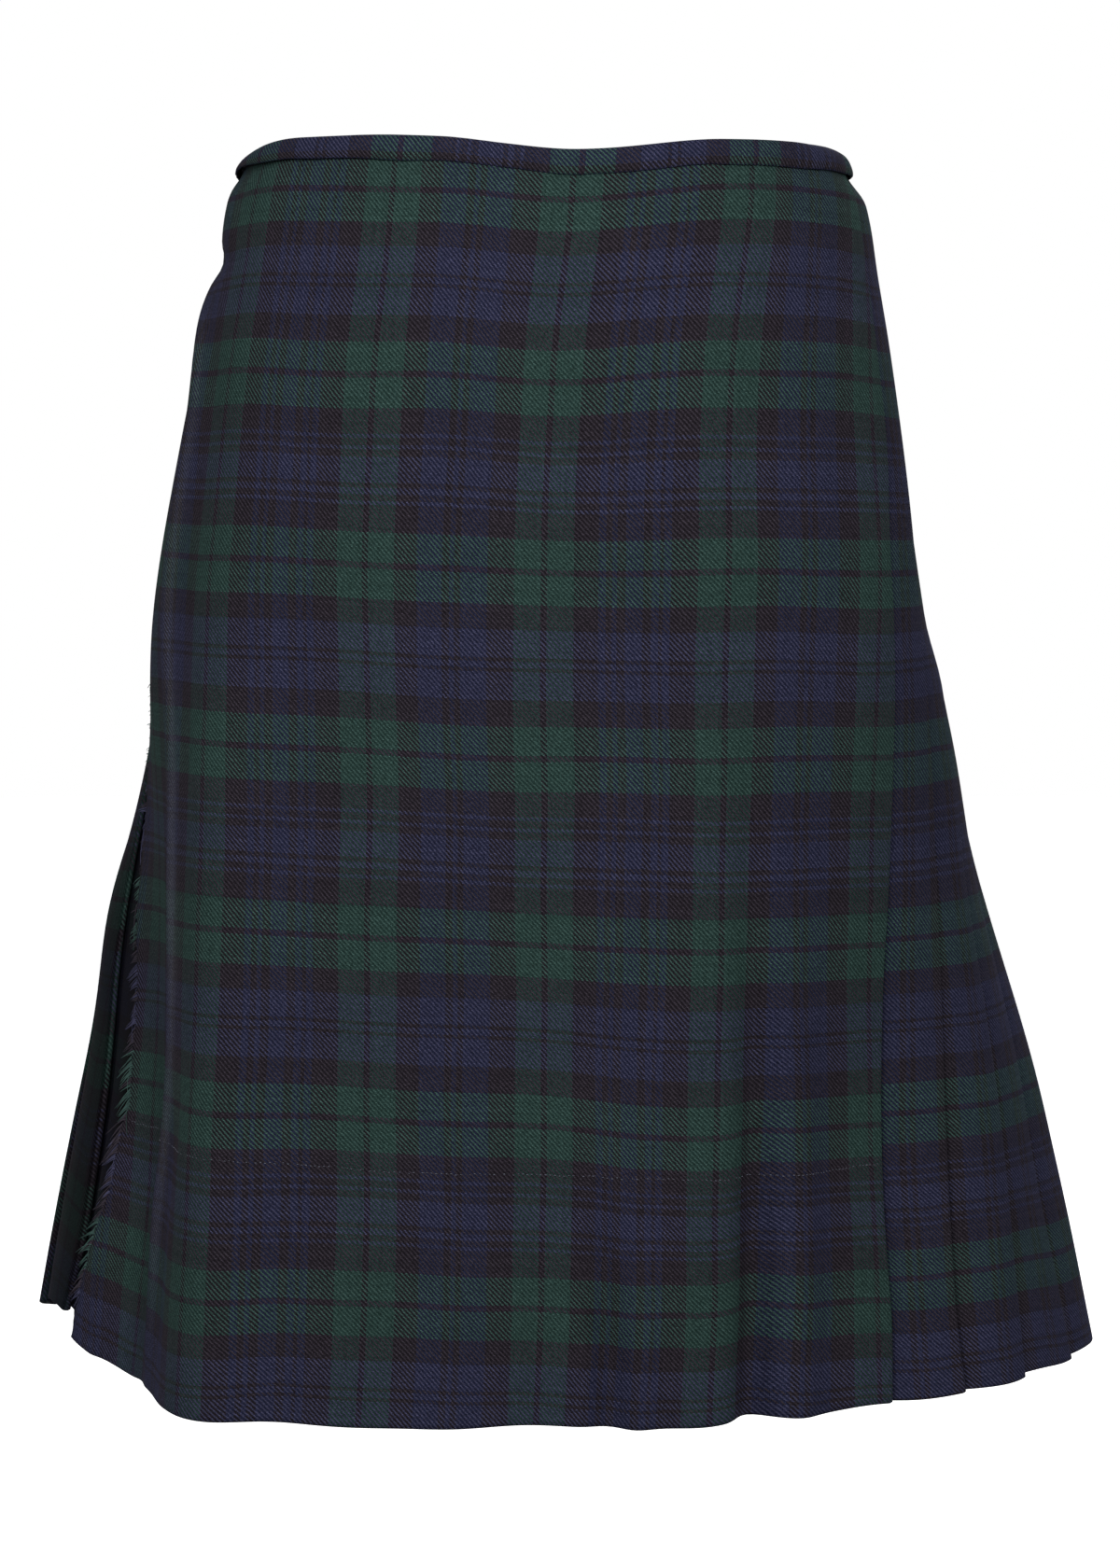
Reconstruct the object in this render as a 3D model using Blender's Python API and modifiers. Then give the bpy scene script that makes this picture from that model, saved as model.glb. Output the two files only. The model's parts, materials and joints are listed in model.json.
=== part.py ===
"""A pleated wool kilt, standing open as if worn.

Metres, +Z up.  The origin is the centre of the waist opening, level with the
top of the waistband at the centre front.  The over apron faces -Y, the pleats are at the back.
The wearer's right hip is at -X.
"""
import math

import bpy
import bmesh

# ---------------------------------------------------------------- sizes
MM = 0.001
KILT_LENGTH = 0.614        # waistband top to hem
DIP_RIGHT = 0.0060         # top edge beside the centre front, wearer's right
DIP_LEFT = 0.0048          # and wearer's left
DIP_BACK = 0.0020          # and round the back
BAND_DEPTH = 0.0125        # visible height of the waistband
BAND_INSIDE = 0.0105       # height of its inner leg
FELL_END = 0.225           # the pleats are stitched flat down to here
CLOTH = 0.0010             # wool twill
CLEAR = 0.0006             # between folded layers where they are stitched
CLEAR_LOOSE = 0.0012       # and where they hang loose
BAND_CLEAR = 0.0010        # between the waistband and the cloth inside it
STRAP_CLEAR = 0.0015       # between the straps and the cloth
TOP_CLEAR = 0.0016         # cloth stops this far under the top of the band
PLEATS = 18                # knife pleats
CENTRE_PLEAT = 11          # the pleat at the centre back
TUCK = 0.008               # last pleat hidden beneath the fringed edge
PITCH_WAIST = 0.0034       # thickness of one folded pleat with its gap
PITCH_HEM = 0.0062
UNDERLAP = 0.72            # share of the next reveal that a pleat hides beneath
FRINGE_REACH = 0.0070
FRINGE_TOP = 0.016
FRINGE_BOTTOM = 0.606
UNDER_SHORT_WAIST = 0.056  # under apron stops this far before the apron fold
UNDER_SHORT_HEM = 0.070

# heights of the sections, from the top of the waistband down
HEIGHTS = {"waist": 0.0, "hip": 0.100, "fell": 0.225,
           "thigh": 0.350, "knee": 0.480, "hem": 0.614}

# Plan position (x, y) in millimetres of the lines that run down the kilt,
# in order round the body from the centre front towards the wearer's left.
LINES = (
    # line             waist            hip              fell             thigh            knee             hem
    ("centre_front",  (15.5, -114.5),  (8.4, -128.5),   (1.0, -140.5),   (0.0, -147.0),   (-1.0, -150.0),  (-6.7, -154.0)),
    ("left_front",    (102.0, -88.0),  (89.6, -123.5),  (88.5, -137.5),  (85.4, -143.5),  (83.4, -146.5),  (79.6, -150.5)),
    ("apron_fold",    (152.5, -30.0),  (166.0, -58.0),  (173.0, -83.0),  (170.5, -86.0),  (168.0, -88.0),  (171.6, -104.0)),
    ("side_pleat",    (157.0, 5.0),    (173.5, 5.0),    (193.5, -5.0),   (215.5, -10.0),  (236.0, -24.0),  (243.0, -49.0)),
    ("left_hip",      (126.0, 70.0),   (144.0, 78.0),   (181.0, 85.0),   (214.0, 90.0),   (256.0, 86.0),   (290.0, 82.0)),
    ("left_back",     (68.0, 103.0),   (80.0, 113.0),   (104.0, 135.0),  (134.0, 159.0),  (158.0, 175.0),  (178.0, 187.0)),
    ("centre_back",   (0.0, 115.0),    (0.0, 125.5),    (0.0, 148.0),    (0.0, 172.0),    (0.0, 190.0),    (0.0, 204.0)),
    ("right_back",    (-60.0, 106.5),  (-74.0, 114.0),  (-108.0, 134.0), (-140.0, 156.5), (-161.0, 174.0), (-178.0, 188.0)),
    ("right_hip",     (-108.0, 85.0),  (-136.0, 86.0),  (-184.0, 86.0),  (-220.5, 90.0),  (-245.0, 100.0), (-272.0, 112.0)),
    ("fringe_edge",   (-137.0, 60.0),  (-166.0, 48.0),  (-198.5, 22.0),  (-205.0, 3.0),   (-223.0, -9.0),  (-240.0, -11.0)),
    ("right_side",    (-156.0, 27.0),  (-178.5, 8.0),   (-197.0, -20.0), (-195.0, -35.0), (-197.0, -41.0), (-208.0, -47.0)),
    ("apron_roll",    (-140.0, -53.0), (-154.0, -75.0), (-163.3, -97.0), (-168.0, -116.0), (-170.0, -124.0), (-176.0, -133.0)),
    ("right_front",   (-71.0, -102.8), (-79.6, -123.0), (-84.9, -138.0), (-83.6, -144.5), (-83.6, -148.5), (-88.5, -152.5)),
)
NAMES = [row[0] for row in LINES]

# How much narrower than the average the first pleats show, by the hem.
FIRST_PLEATS = (
    # pleat, share of the average at the hem
    (1, 0.79),
    (2, 0.87),
    (3, 1.00),
)

# Soft troughs (-) and ridges (+) of the over apron.
APRON_FOLDS = (
    # along (m from centre front), starts below waist, half width, depth at hem
    (0.098, 0.30, 0.012, -0.0045),
    (0.121, 0.32, 0.013, 0.0035),
    (0.024, 0.50, 0.012, -0.0035),
    (0.042, 0.50, 0.012, 0.0025),
)

# Columns of the aprons between their edges, from the centre front; they
# follow the troughs and ridges above.
APRON_COLUMNS = (-0.270, -0.245, -0.220, -0.196, -0.172, -0.146, -0.118,
                 -0.088, -0.058, -0.028, -0.004, 0.012, 0.024, 0.033, 0.042,
                 0.056, 0.072, 0.086, 0.098, 0.110, 0.121, 0.136)

# heights at which every cloth piece has a row of points
ROWS = (TOP_CLEAR, 0.060, 0.130, FELL_END, 0.340, 0.480, KILT_LENGTH)

# fastening at each hip
STRAP_WIDTH = 0.024
STRAP_TOP = 0.017
STRAP_THICK = 0.0018
TAB_THICK = 0.0015
STRAP_TIP = 0.036          # strap past the hinge bar
TAB_LENGTH = 0.030
WIRE = 0.0026

COLLECTION = "kilt"
GREEN = (0.022, 0.075, 0.050, 1.0)
NAVY = (0.018, 0.026, 0.075, 1.0)
LEATHER = (0.012, 0.010, 0.010, 1.0)
STEEL = (0.72, 0.72, 0.70, 1.0)


# ---------------------------------------------------------------- helpers
def smooth(x):
    x = min(1.0, max(0.0, x))
    return x * x * (3.0 - 2.0 * x)


def hermite(xs, ys, x):
    """Cubic through (xs, ys) with averaged slopes, flat outside."""
    if x <= xs[0]:
        return ys[0]
    if x >= xs[-1]:
        return ys[-1]
    i = max(k for k in range(len(xs) - 1) if xs[k] <= x)

    def slope(k):
        a, b = max(k - 1, 0), min(k + 1, len(xs) - 1)
        return (ys[b] - ys[a]) / (xs[b] - xs[a])

    h = xs[i + 1] - xs[i]
    t = (x - xs[i]) / h
    return ((2 * t ** 3 - 3 * t ** 2 + 1) * ys[i]
            + (t ** 3 - 2 * t ** 2 + t) * h * slope(i)
            + (-2 * t ** 3 + 3 * t ** 2) * ys[i + 1]
            + (t ** 3 - t ** 2) * h * slope(i + 1))


def stations(down):
    """Plan points of the named lines at a depth below the waist."""
    heights = list(HEIGHTS.values())
    return [(hermite(heights, [p[0] * MM for p in row[1:]], down),
             hermite(heights, [p[1] * MM for p in row[1:]], down))
            for row in LINES]


def catmull(p0, p1, p2, p3, t):
    """Centripetal Catmull-Rom between p1 and p2."""
    def step(a, b):
        return math.hypot(b[0] - a[0], b[1] - a[1]) ** 0.5
    t0 = 0.0
    t1 = t0 + step(p0, p1)
    t2 = t1 + step(p1, p2)
    t3 = t2 + step(p2, p3)
    x = t1 + (t2 - t1) * t

    def mix(a, b, ta, tb):
        w = (x - ta) / (tb - ta)
        return (a[0] + (b[0] - a[0]) * w, a[1] + (b[1] - a[1]) * w)
    a1, a2, a3 = mix(p0, p1, t0, t1), mix(p1, p2, t1, t2), mix(p2, p3, t2, t3)
    b1, b2 = mix(a1, a2, t0, t2), mix(a2, a3, t1, t3)
    return mix(b1, b2, t1, t2)


class Ring:
    """One closed plan section, walked by its own length.

    Length 0 is the centre front and grows towards the wearer's left.
    """
    STEPS = 24

    def __init__(self, down):
        pts = stations(down)
        n = len(pts)
        self.points = []
        self.mark = {}
        for i in range(n):
            for k in range(self.STEPS):
                if k == 0:
                    self.mark[NAMES[i]] = len(self.points)
                self.points.append(catmull(pts[i - 1], pts[i],
                                           pts[(i + 1) % n], pts[(i + 2) % n],
                                           k / self.STEPS))
        self.lengths = [0.0]
        m = len(self.points)
        for k in range(m):
            a, b = self.points[k], self.points[(k + 1) % m]
            self.lengths.append(self.lengths[-1]
                                + math.hypot(b[0] - a[0], b[1] - a[1]))
        self.total = self.lengths[-1]

    def along(self, name):
        return self.lengths[self.mark[name]]

    def _raw(self, s):
        s = s % self.total
        lo, hi = 0, len(self.points)
        while hi - lo > 1:
            mid = (lo + hi) // 2
            if self.lengths[mid] <= s:
                lo = mid
            else:
                hi = mid
        a = self.points[lo]
        b = self.points[(lo + 1) % len(self.points)]
        w = (s - self.lengths[lo]) / (self.lengths[lo + 1] - self.lengths[lo])
        return (a[0] + (b[0] - a[0]) * w, a[1] + (b[1] - a[1]) * w)

    def at(self, s, out=0.0):
        """Point at length s, moved outwards."""
        p = self._raw(s)
        a, b = self._raw(s - 0.004), self._raw(s + 0.004)
        dx, dy = b[0] - a[0], b[1] - a[1]
        d = math.hypot(dx, dy)
        return (p[0] + dy / d * out, p[1] - dx / d * out)


_rings = {}


def ring(down):
    key = round(down, 6)
    if key not in _rings:
        _rings[key] = Ring(down)
    return _rings[key]


def rise(down, s):
    """The top edge dips at the centre front and is higher beside it."""
    total = ring(down).total
    s = (s + total / 2) % total - total / 2
    front = DIP_RIGHT * smooth(-s / 0.065) if s < 0 else DIP_LEFT * smooth(s / 0.075)
    side = smooth((abs(s) - 0.145) / 0.06)
    return (front + (DIP_BACK - front) * side) * (1.0 - smooth(down / 0.26))


def place(down, s, out=0.0):
    x, y = ring(down).at(s, out)
    return (x, y, rise(down, s) - down)


# ---------------------------------------------------------------- layout
def pitch(down):
    return PITCH_WAIST + (PITCH_HEM - PITCH_WAIST) * smooth(
        (down - FELL_END + 0.03) / (KILT_LENGTH - FELL_END))


def fold_radius(down):
    loose = smooth((down - FELL_END + 0.03) / 0.12)
    return (pitch(down) - CLEAR - (CLEAR_LOOSE - CLEAR) * loose) / 2


def fold_edge(down, j):
    """Length at which the pressed edge of pleat j lies; 0 is the apron's.

    The middle of CENTRE_PLEAT stays at the centre back all the way down, so
    that the pleats hang straight there.
    """
    r = ring(down)
    first, back = r.along("apron_fold"), r.along("centre_back")
    last = r.along("fringe_edge") + TUCK
    hem = smooth((down - 0.10) / (KILT_LENGTH - 0.10))
    shares = [1.0] * PLEATS
    for pleat, share in FIRST_PLEATS:
        shares[pleat - 1] = 1.0 + (share - 1.0) * hem
    half = sum(shares[:CENTRE_PLEAT]) - 0.5
    if j < 0:
        return first + j * (back - first) * shares[0] / half
    done = sum(shares[:j])
    if done <= half:
        return first + (back - first) * done / half
    return back + (last - back) * (done - half) / (sum(shares) - half)


def tuck_in(down, s):
    """How far the pleats sink so that they pass beneath the fringed edge."""
    end = ring(down).along("fringe_edge")
    show = (end - ring(down).along("apron_fold")) / PLEATS
    depth = 0.0028 + 0.0032 * (1.0 - smooth((down - 0.02) / 0.06))
    return depth * smooth((s - (end - 3.0 * show)) / (2.6 * show))


def apron_out(down, s):
    out = 0.0
    for along, top, half, depth in APRON_FOLDS:
        fade = smooth((down - top) / (KILT_LENGTH - top))
        out += depth * fade * math.exp(-((s - along) / half) ** 2)
    return out


def pleat_profile(down, j):
    """(length, outward) points of one pleat: face, pressed edge, return."""
    t, rad = pitch(down), fold_radius(down)
    e0, e1, e2 = fold_edge(down, j - 2), fold_edge(down, j - 1), fold_edge(down, j)
    under, half = e1 - UNDERLAP * (e1 - e0), e1 - UNDERLAP / 2 * (e1 - e0)
    deep, mid = e2 - UNDERLAP * (e2 - e1), e2 - UNDERLAP / 2 * (e2 - e1)
    face = [(under, 1.0 + UNDERLAP), (half, 1.0 + UNDERLAP / 2), (e1, 1.0),
            (deep, UNDERLAP), (mid, UNDERLAP / 2), (e2 - rad, rad / (e2 - e1))]
    pts = [(s, -tuck_in(down, s) - t * k) for s, k in face]
    sc, oc = pts[-1][0], pts[-1][1] - rad
    for a in (60, 120):
        pts.append((sc + rad * math.sin(math.radians(a)),
                    oc + rad * math.cos(math.radians(a))))
    for s, k in face[:2:-1]:
        pts.append((s, -tuck_in(down, s) - t * k - 2 * rad))
    return pts


def apron_lengths(down):
    """Lengths of the over apron's columns from the fringed edge to its fold."""
    r = ring(down)
    start = r.along("fringe_edge") - r.total
    e0, e1 = fold_edge(down, -1), fold_edge(down, 0)
    return ([start, start + 0.010] + list(APRON_COLUMNS)
            + [e1 - UNDERLAP * (e1 - e0), e1 - UNDERLAP / 2 * (e1 - e0),
               e1 - fold_radius(down)])


def apron_profile(down):
    rad = fold_radius(down)
    pts = [(s, apron_out(down, s)) for s in apron_lengths(down)]
    sc, oc = pts[-1][0], pts[-1][1] - rad
    for a in (60, 120):
        pts.append((sc + rad * math.sin(math.radians(a)),
                    oc + rad * math.cos(math.radians(a))))
    e0, e1 = fold_edge(down, -1), fold_edge(down, 0)
    for s in (sc, e1 - UNDERLAP / 2 * (e1 - e0), e1 - UNDERLAP * (e1 - e0)):
        pts.append((s, oc - rad))
    return pts


def under_out(down):
    return -0.0064 - 0.0030 * smooth((down - 0.02) / 0.25)


def under_profile(down):
    r = ring(down)
    start = r.along("fringe_edge") + TUCK + 0.002 - r.total
    short = UNDER_SHORT_WAIST + (UNDER_SHORT_HEM - UNDER_SHORT_WAIST) * smooth(
        down / KILT_LENGTH)
    end = r.along("apron_fold") - short
    return [(s, under_out(down))
            for s in [start] + [c for c in APRON_COLUMNS if c < 0.11] + [end]]


# ---------------------------------------------------------------- building
def clear_scene():
    for ob in list(bpy.data.objects):
        bpy.data.objects.remove(ob, do_unlink=True)


def material(name, colour, rough, metal=0.0):
    mat = bpy.data.materials.new(name)
    mat.use_nodes = True
    shader = next(n for n in mat.node_tree.nodes if n.type == "BSDF_PRINCIPLED")
    shader.inputs["Base Color"].default_value = colour
    shader.inputs["Roughness"].default_value = rough
    shader.inputs["Metallic"].default_value = metal
    return mat


def add_object(name, data, coll, colour, rough, metal=0.0):
    ob = bpy.data.objects.new(name, data)
    coll.objects.link(ob)
    data.materials.append(material(name, colour, rough, metal))
    return ob


def shell(name, rows, coll, colour, rough=0.85, thick=CLOTH, holes=(),
          back=()):
    """A wall whose outer surface is a grid of points, thickened inwards.

    Rows run from the top down, columns towards the wearer's left, so the
    faces look outwards.  Every square is split along the same diagonal in
    every layer, also in the columns that run back, so that layers which
    follow each other closely keep their distance.
    """
    mesh = bpy.data.meshes.new(name)
    bm = bmesh.new()
    grid = [[bm.verts.new(p) for p in row] for row in rows]
    for i in range(len(grid) - 1):
        for k in range(len(grid[0]) - 1):
            if (i, k) in holes:
                continue
            a, b = grid[i][k], grid[i + 1][k]
            c, d = grid[i + 1][k + 1], grid[i][k + 1]
            if k in back:
                bm.faces.new((a, b, d))
                bm.faces.new((b, c, d))
            else:
                bm.faces.new((a, b, c))
                bm.faces.new((a, c, d))
    for v in [v for v in bm.verts if not v.link_faces]:
        bm.verts.remove(v)
    bm.to_mesh(mesh)
    bm.free()
    mesh.shade_smooth()
    ob = add_object(name, mesh, coll, colour, rough)
    wall = ob.modifiers.new("wall", "SOLIDIFY")
    wall.thickness = thick
    wall.offset = -1.0
    wall.use_even_offset = True
    wall.use_rim = True
    return ob


def cloth(name, profile, coll, colour, downs=ROWS):
    rows = [[place(d, s, o) for s, o in profile(d)] for d in downs]
    middle = profile(FELL_END)
    back = [k for k in range(len(middle) - 1) if middle[k + 1][0] < middle[k][0]]
    return shell(name, rows, coll, colour, back=back)


def band(name, lengths, outer, inner, coll):
    """A strip folded over the top edge: outer leg, top, inner leg."""
    rows = []
    for down, side in ((BAND_INSIDE, inner), (0.0, inner),
                       (0.0, outer), (BAND_DEPTH, outer)):
        rows.append([place(down, s, side(down, s)) for s in lengths(down)])
    return shell(name, rows, coll, GREEN)


def build_bands(coll):
    outer = BAND_CLEAR + CLOTH
    inner = -2 * CLOTH - BAND_CLEAR
    deep = -2 * PITCH_WAIST - 2 * CLOTH - BAND_CLEAR

    def over_lengths(down):
        return apron_lengths(down)[:-1] + [fold_edge(down, 0)]

    def over_inner(down, s):
        return inner + (deep - inner) * min(1.0, max(0.0, (s - 0.1215) / 0.0140))
    band("waistband_over_apron", over_lengths, lambda d, s: outer, over_inner, coll)

    def back_lengths(down):
        out = [fold_edge(down, 0) + 0.0008]
        for j in range(1, PLEATS + 1):
            a, b = fold_edge(down, j - 1), fold_edge(down, j)
            out += [(a + b) / 2, b]
        out[-1] += 0.0008
        return out
    band("waistband_back", back_lengths,
         lambda d, s: outer - tuck_in(d, s), lambda d, s: deep - tuck_in(d, s), coll)
    at = under_out(0.0)
    band("waistband_under_apron",
         lambda d: [s for s, o in under_profile(d)],
         lambda d, s: at + outer, lambda d, s: at + inner, coll)


def wire(name, points, coll, closed, radius):
    curve = bpy.data.curves.new(name, "CURVE")
    curve.dimensions = "3D"
    curve.bevel_depth = radius
    curve.bevel_resolution = 1
    curve.use_fill_caps = True
    line = curve.splines.new("POLY")
    line.points.add(len(points) - 1)
    for p, q in zip(line.points, points):
        p.co = (q[0], q[1], q[2], 1.0)
    line.use_cyclic_u = closed
    return add_object(name, curve, coll, STEEL, 0.25, 1.0)


def fastening(side, hinge, sign, ground, first, coll):
    """Strap, tab, keeper, buckle frame and prong at one hip.

    hinge(down) is the length at which the hinge bar lies; sign is the way
    along the waist in which the strap is drawn; ground(d) is the surface
    below at a distance d past the hinge bar; first is the strap's length
    before the hinge bar.
    """
    mid = STRAP_TOP + STRAP_WIDTH / 2
    half = STRAP_WIDTH / 2 + 0.0045     # half height of the frame
    reach = 0.024                       # outer bar to hinge bar
    gap = 0.0007
    r = WIRE / 2
    base = ground(0.0) + STRAP_CLEAR
    bar = base + TAB_THICK + gap + r
    bar_outer = ground(-reach) + STRAP_CLEAR + STRAP_THICK + gap + r
    leg = r + gap + TAB_THICK

    def at(down, d, out):
        return place(down, hinge(down) + sign * d, out)

    def walk(points):
        """(distance past the hinge bar, outward), ordered along the waist."""
        return points if sign < 0 else points[::-1]

    # buckle frame: a rounded rectangle of wire
    pts = []
    corner = 0.005
    for cd, cz, turn in ((-corner, -half + corner, 0), (-corner, half - corner, 90),
                         (-reach + corner, half - corner, 180),
                         (-reach + corner, -half + corner, 270)):
        for a in (0, 45, 90):
            ang = math.radians(turn + a)
            d, dz = cd + corner * math.sin(ang), cz - corner * math.cos(ang)
            out = bar + (bar_outer - bar) * min(1.0, max(0.0, -d / reach))
            pts.append(at(mid + dz, d, out))
    wire("buckle_frame_" + side, pts, coll, True, r)

    # tab folded round the hinge bar, slotted for the prong
    tab = [(TAB_LENGTH, bar + leg), (TAB_LENGTH / 2, bar + leg), (0.0, bar + leg)]
    for a in (30, 60, 90, 120, 150):
        tab.append((-leg * math.sin(math.radians(a)),
                    bar + leg * math.cos(math.radians(a))))
    tab += [(0.0, bar - leg), (TAB_LENGTH / 2, bar - leg), (TAB_LENGTH, bar - leg)]
    downs = [STRAP_TOP + 0.0015 + (STRAP_WIDTH - 0.003) * w for w in (0.0, 0.4, 0.6, 1.0)]
    shell("buckle_tab_" + side, [[at(q, d, o) for d, o in walk(tab)] for q in downs],
          coll, LEATHER, 0.45, TAB_THICK, [(1, k) for k in range(3, 7)])

    # strap: along the cloth, under the outer bar, up through the frame
    low, top = STRAP_CLEAR + STRAP_THICK, bar + leg + gap + STRAP_THICK
    strap = [(STRAP_TIP, top), (0.024, top), (0.018, top), (0.009, top),
             (-0.003, top), (-0.0070, top - 0.0006),
             (-0.0185, low + ground(-0.0185) + 0.0002)]
    for k in range(7):
        d = -0.0205 - (first - 0.0205) * k / 6
        strap.append((d, low + ground(d)))
    hole = 5 if sign < 0 else len(strap) - 2 - 5
    downs = [STRAP_TOP + STRAP_WIDTH * w for w in (0.0, 0.4, 0.6, 1.0)]
    shell("strap_" + side, [[at(q, d, o) for d, o in walk(strap)] for q in downs],
          coll, LEATHER, 0.45, STRAP_THICK, [(1, hole)])

    # prong: from the hinge bar through the strap onto the outer bar
    rp = 0.0008
    rest = bar_outer + r + gap + rp
    prong = [(-r - gap - rp, bar), (-0.0105, bar + (rest - bar) * 0.45),
             (-0.018, rest - 0.0004), (-reach - 0.0015, rest)]
    wire("prong_" + side, [at(mid, d, o) for d, o in prong], coll, False, rp)

    # keeper: a loop over strap and tab, its ends against the cloth
    high = top + gap + 0.0014
    edge = gap + 0.0014
    rows = []
    for q, o in ((STRAP_TOP - edge, base), (STRAP_TOP - edge, high),
                 (STRAP_TOP + STRAP_WIDTH + edge, high),
                 (STRAP_TOP + STRAP_WIDTH + edge, base)):
        rows.append([at(q, d, o) for d in walk((0.024, 0.018))])
    shell("keeper_" + side, rows, coll, LEATHER, 0.45, 0.0014)


def build():
    clear_scene()
    coll = bpy.data.collections.new(COLLECTION)
    bpy.context.scene.collection.children.link(coll)
    cloth("over_apron", apron_profile, coll, GREEN)
    cloth("under_apron", under_profile, coll, GREEN)
    for j in range(1, PLEATS + 1):
        cloth("pleat_%02d" % j, lambda d, j=j: pleat_profile(d, j), coll,
              NAVY if j % 2 else GREEN)

    def fringe(down):
        edge = ring(down).along("fringe_edge") - ring(down).total
        out = apron_out(down, edge)
        return [(edge - 0.0004 - FRINGE_REACH, out), (edge - 0.0004, out)]
    cloth("fringe", fringe, coll, GREEN,
          (FRINGE_TOP, 0.060, 0.130, FELL_END, 0.340, 0.480, FRINGE_BOTTOM))
    build_bands(coll)

    mid = STRAP_TOP + STRAP_WIDTH / 2
    end = ring(mid).along("fringe_edge")

    def right_ground(d):
        """Over apron and its fringe, then a slope down to the pleats."""
        return -tuck_in(mid, end - 0.060 - d) * smooth((0.052 + d) / 0.012)
    fastening("right", lambda q: ring(q).along("fringe_edge") - 0.060, -1,
              right_ground, 0.082, coll)
    fastening("left", lambda q: fold_edge(q, 3) + 0.0588, 1, lambda d: 0.0,
              0.058, coll)


build()
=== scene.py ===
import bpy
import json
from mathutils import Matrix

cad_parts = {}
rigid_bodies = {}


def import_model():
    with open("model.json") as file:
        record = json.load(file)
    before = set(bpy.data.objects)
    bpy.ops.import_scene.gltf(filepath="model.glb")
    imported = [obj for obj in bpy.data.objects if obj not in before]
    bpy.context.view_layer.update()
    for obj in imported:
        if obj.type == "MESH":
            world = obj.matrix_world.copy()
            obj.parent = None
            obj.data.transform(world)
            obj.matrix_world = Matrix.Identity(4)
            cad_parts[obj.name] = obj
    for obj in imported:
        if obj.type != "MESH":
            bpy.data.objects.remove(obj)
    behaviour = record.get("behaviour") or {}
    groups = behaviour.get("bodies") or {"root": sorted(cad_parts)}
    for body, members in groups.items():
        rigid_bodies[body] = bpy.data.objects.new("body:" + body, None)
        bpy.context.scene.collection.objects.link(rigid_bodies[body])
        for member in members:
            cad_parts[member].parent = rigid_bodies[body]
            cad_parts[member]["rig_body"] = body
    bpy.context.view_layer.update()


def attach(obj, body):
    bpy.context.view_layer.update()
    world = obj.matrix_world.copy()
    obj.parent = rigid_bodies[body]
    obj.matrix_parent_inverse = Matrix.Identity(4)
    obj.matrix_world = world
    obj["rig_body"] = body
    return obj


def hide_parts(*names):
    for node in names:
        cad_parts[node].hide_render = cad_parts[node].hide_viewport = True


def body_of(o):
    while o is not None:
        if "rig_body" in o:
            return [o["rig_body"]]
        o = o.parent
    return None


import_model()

"""Looks of a pleated wool kilt, standing open as if worn.

Metres, +Z up.  The over apron faces -Y, the pleats are at the back.
s is the length along a plan section from the centre front towards the
wearer's left (+X); down is the depth below the top of the waistband.
"""
import json
import math
import random

import bpy
import numpy as np
from mathutils import Vector

random.seed(7)
rng = np.random.default_rng(11)

# ---------------------------------------------------------------- sizes
MM = 0.001
KILT_LENGTH = 0.614
DIP_RIGHT = 0.0060
DIP_LEFT = 0.0048
DIP_BACK = 0.0020
BAND_DEPTH = 0.0125
BAND_INSIDE = 0.0105
FELL_END = 0.225
CLOTH = 0.0010
CLEAR = 0.0006
CLEAR_LOOSE = 0.0012
BAND_CLEAR = 0.0010
STRAP_CLEAR = 0.0015
TOP_CLEAR = 0.0016
PLEATS = 18
CENTRE_PLEAT = 11
TUCK = 0.008
PITCH_WAIST = 0.0034
PITCH_HEM = 0.0062
UNDERLAP = 0.72
FRINGE_TOP = 0.016
UNDER_SHORT_WAIST = 0.056
UNDER_SHORT_HEM = 0.070
STRAP_WIDTH = 0.024
STRAP_TOP = 0.017
STRAP_THICK = 0.0018
TAB_THICK = 0.0015
STRAP_TIP = 0.036
TAB_LENGTH = 0.030
WIRE = 0.0026

HEIGHTS = np.array((0.0, 0.100, 0.225, 0.350, 0.480, 0.614))

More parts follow.
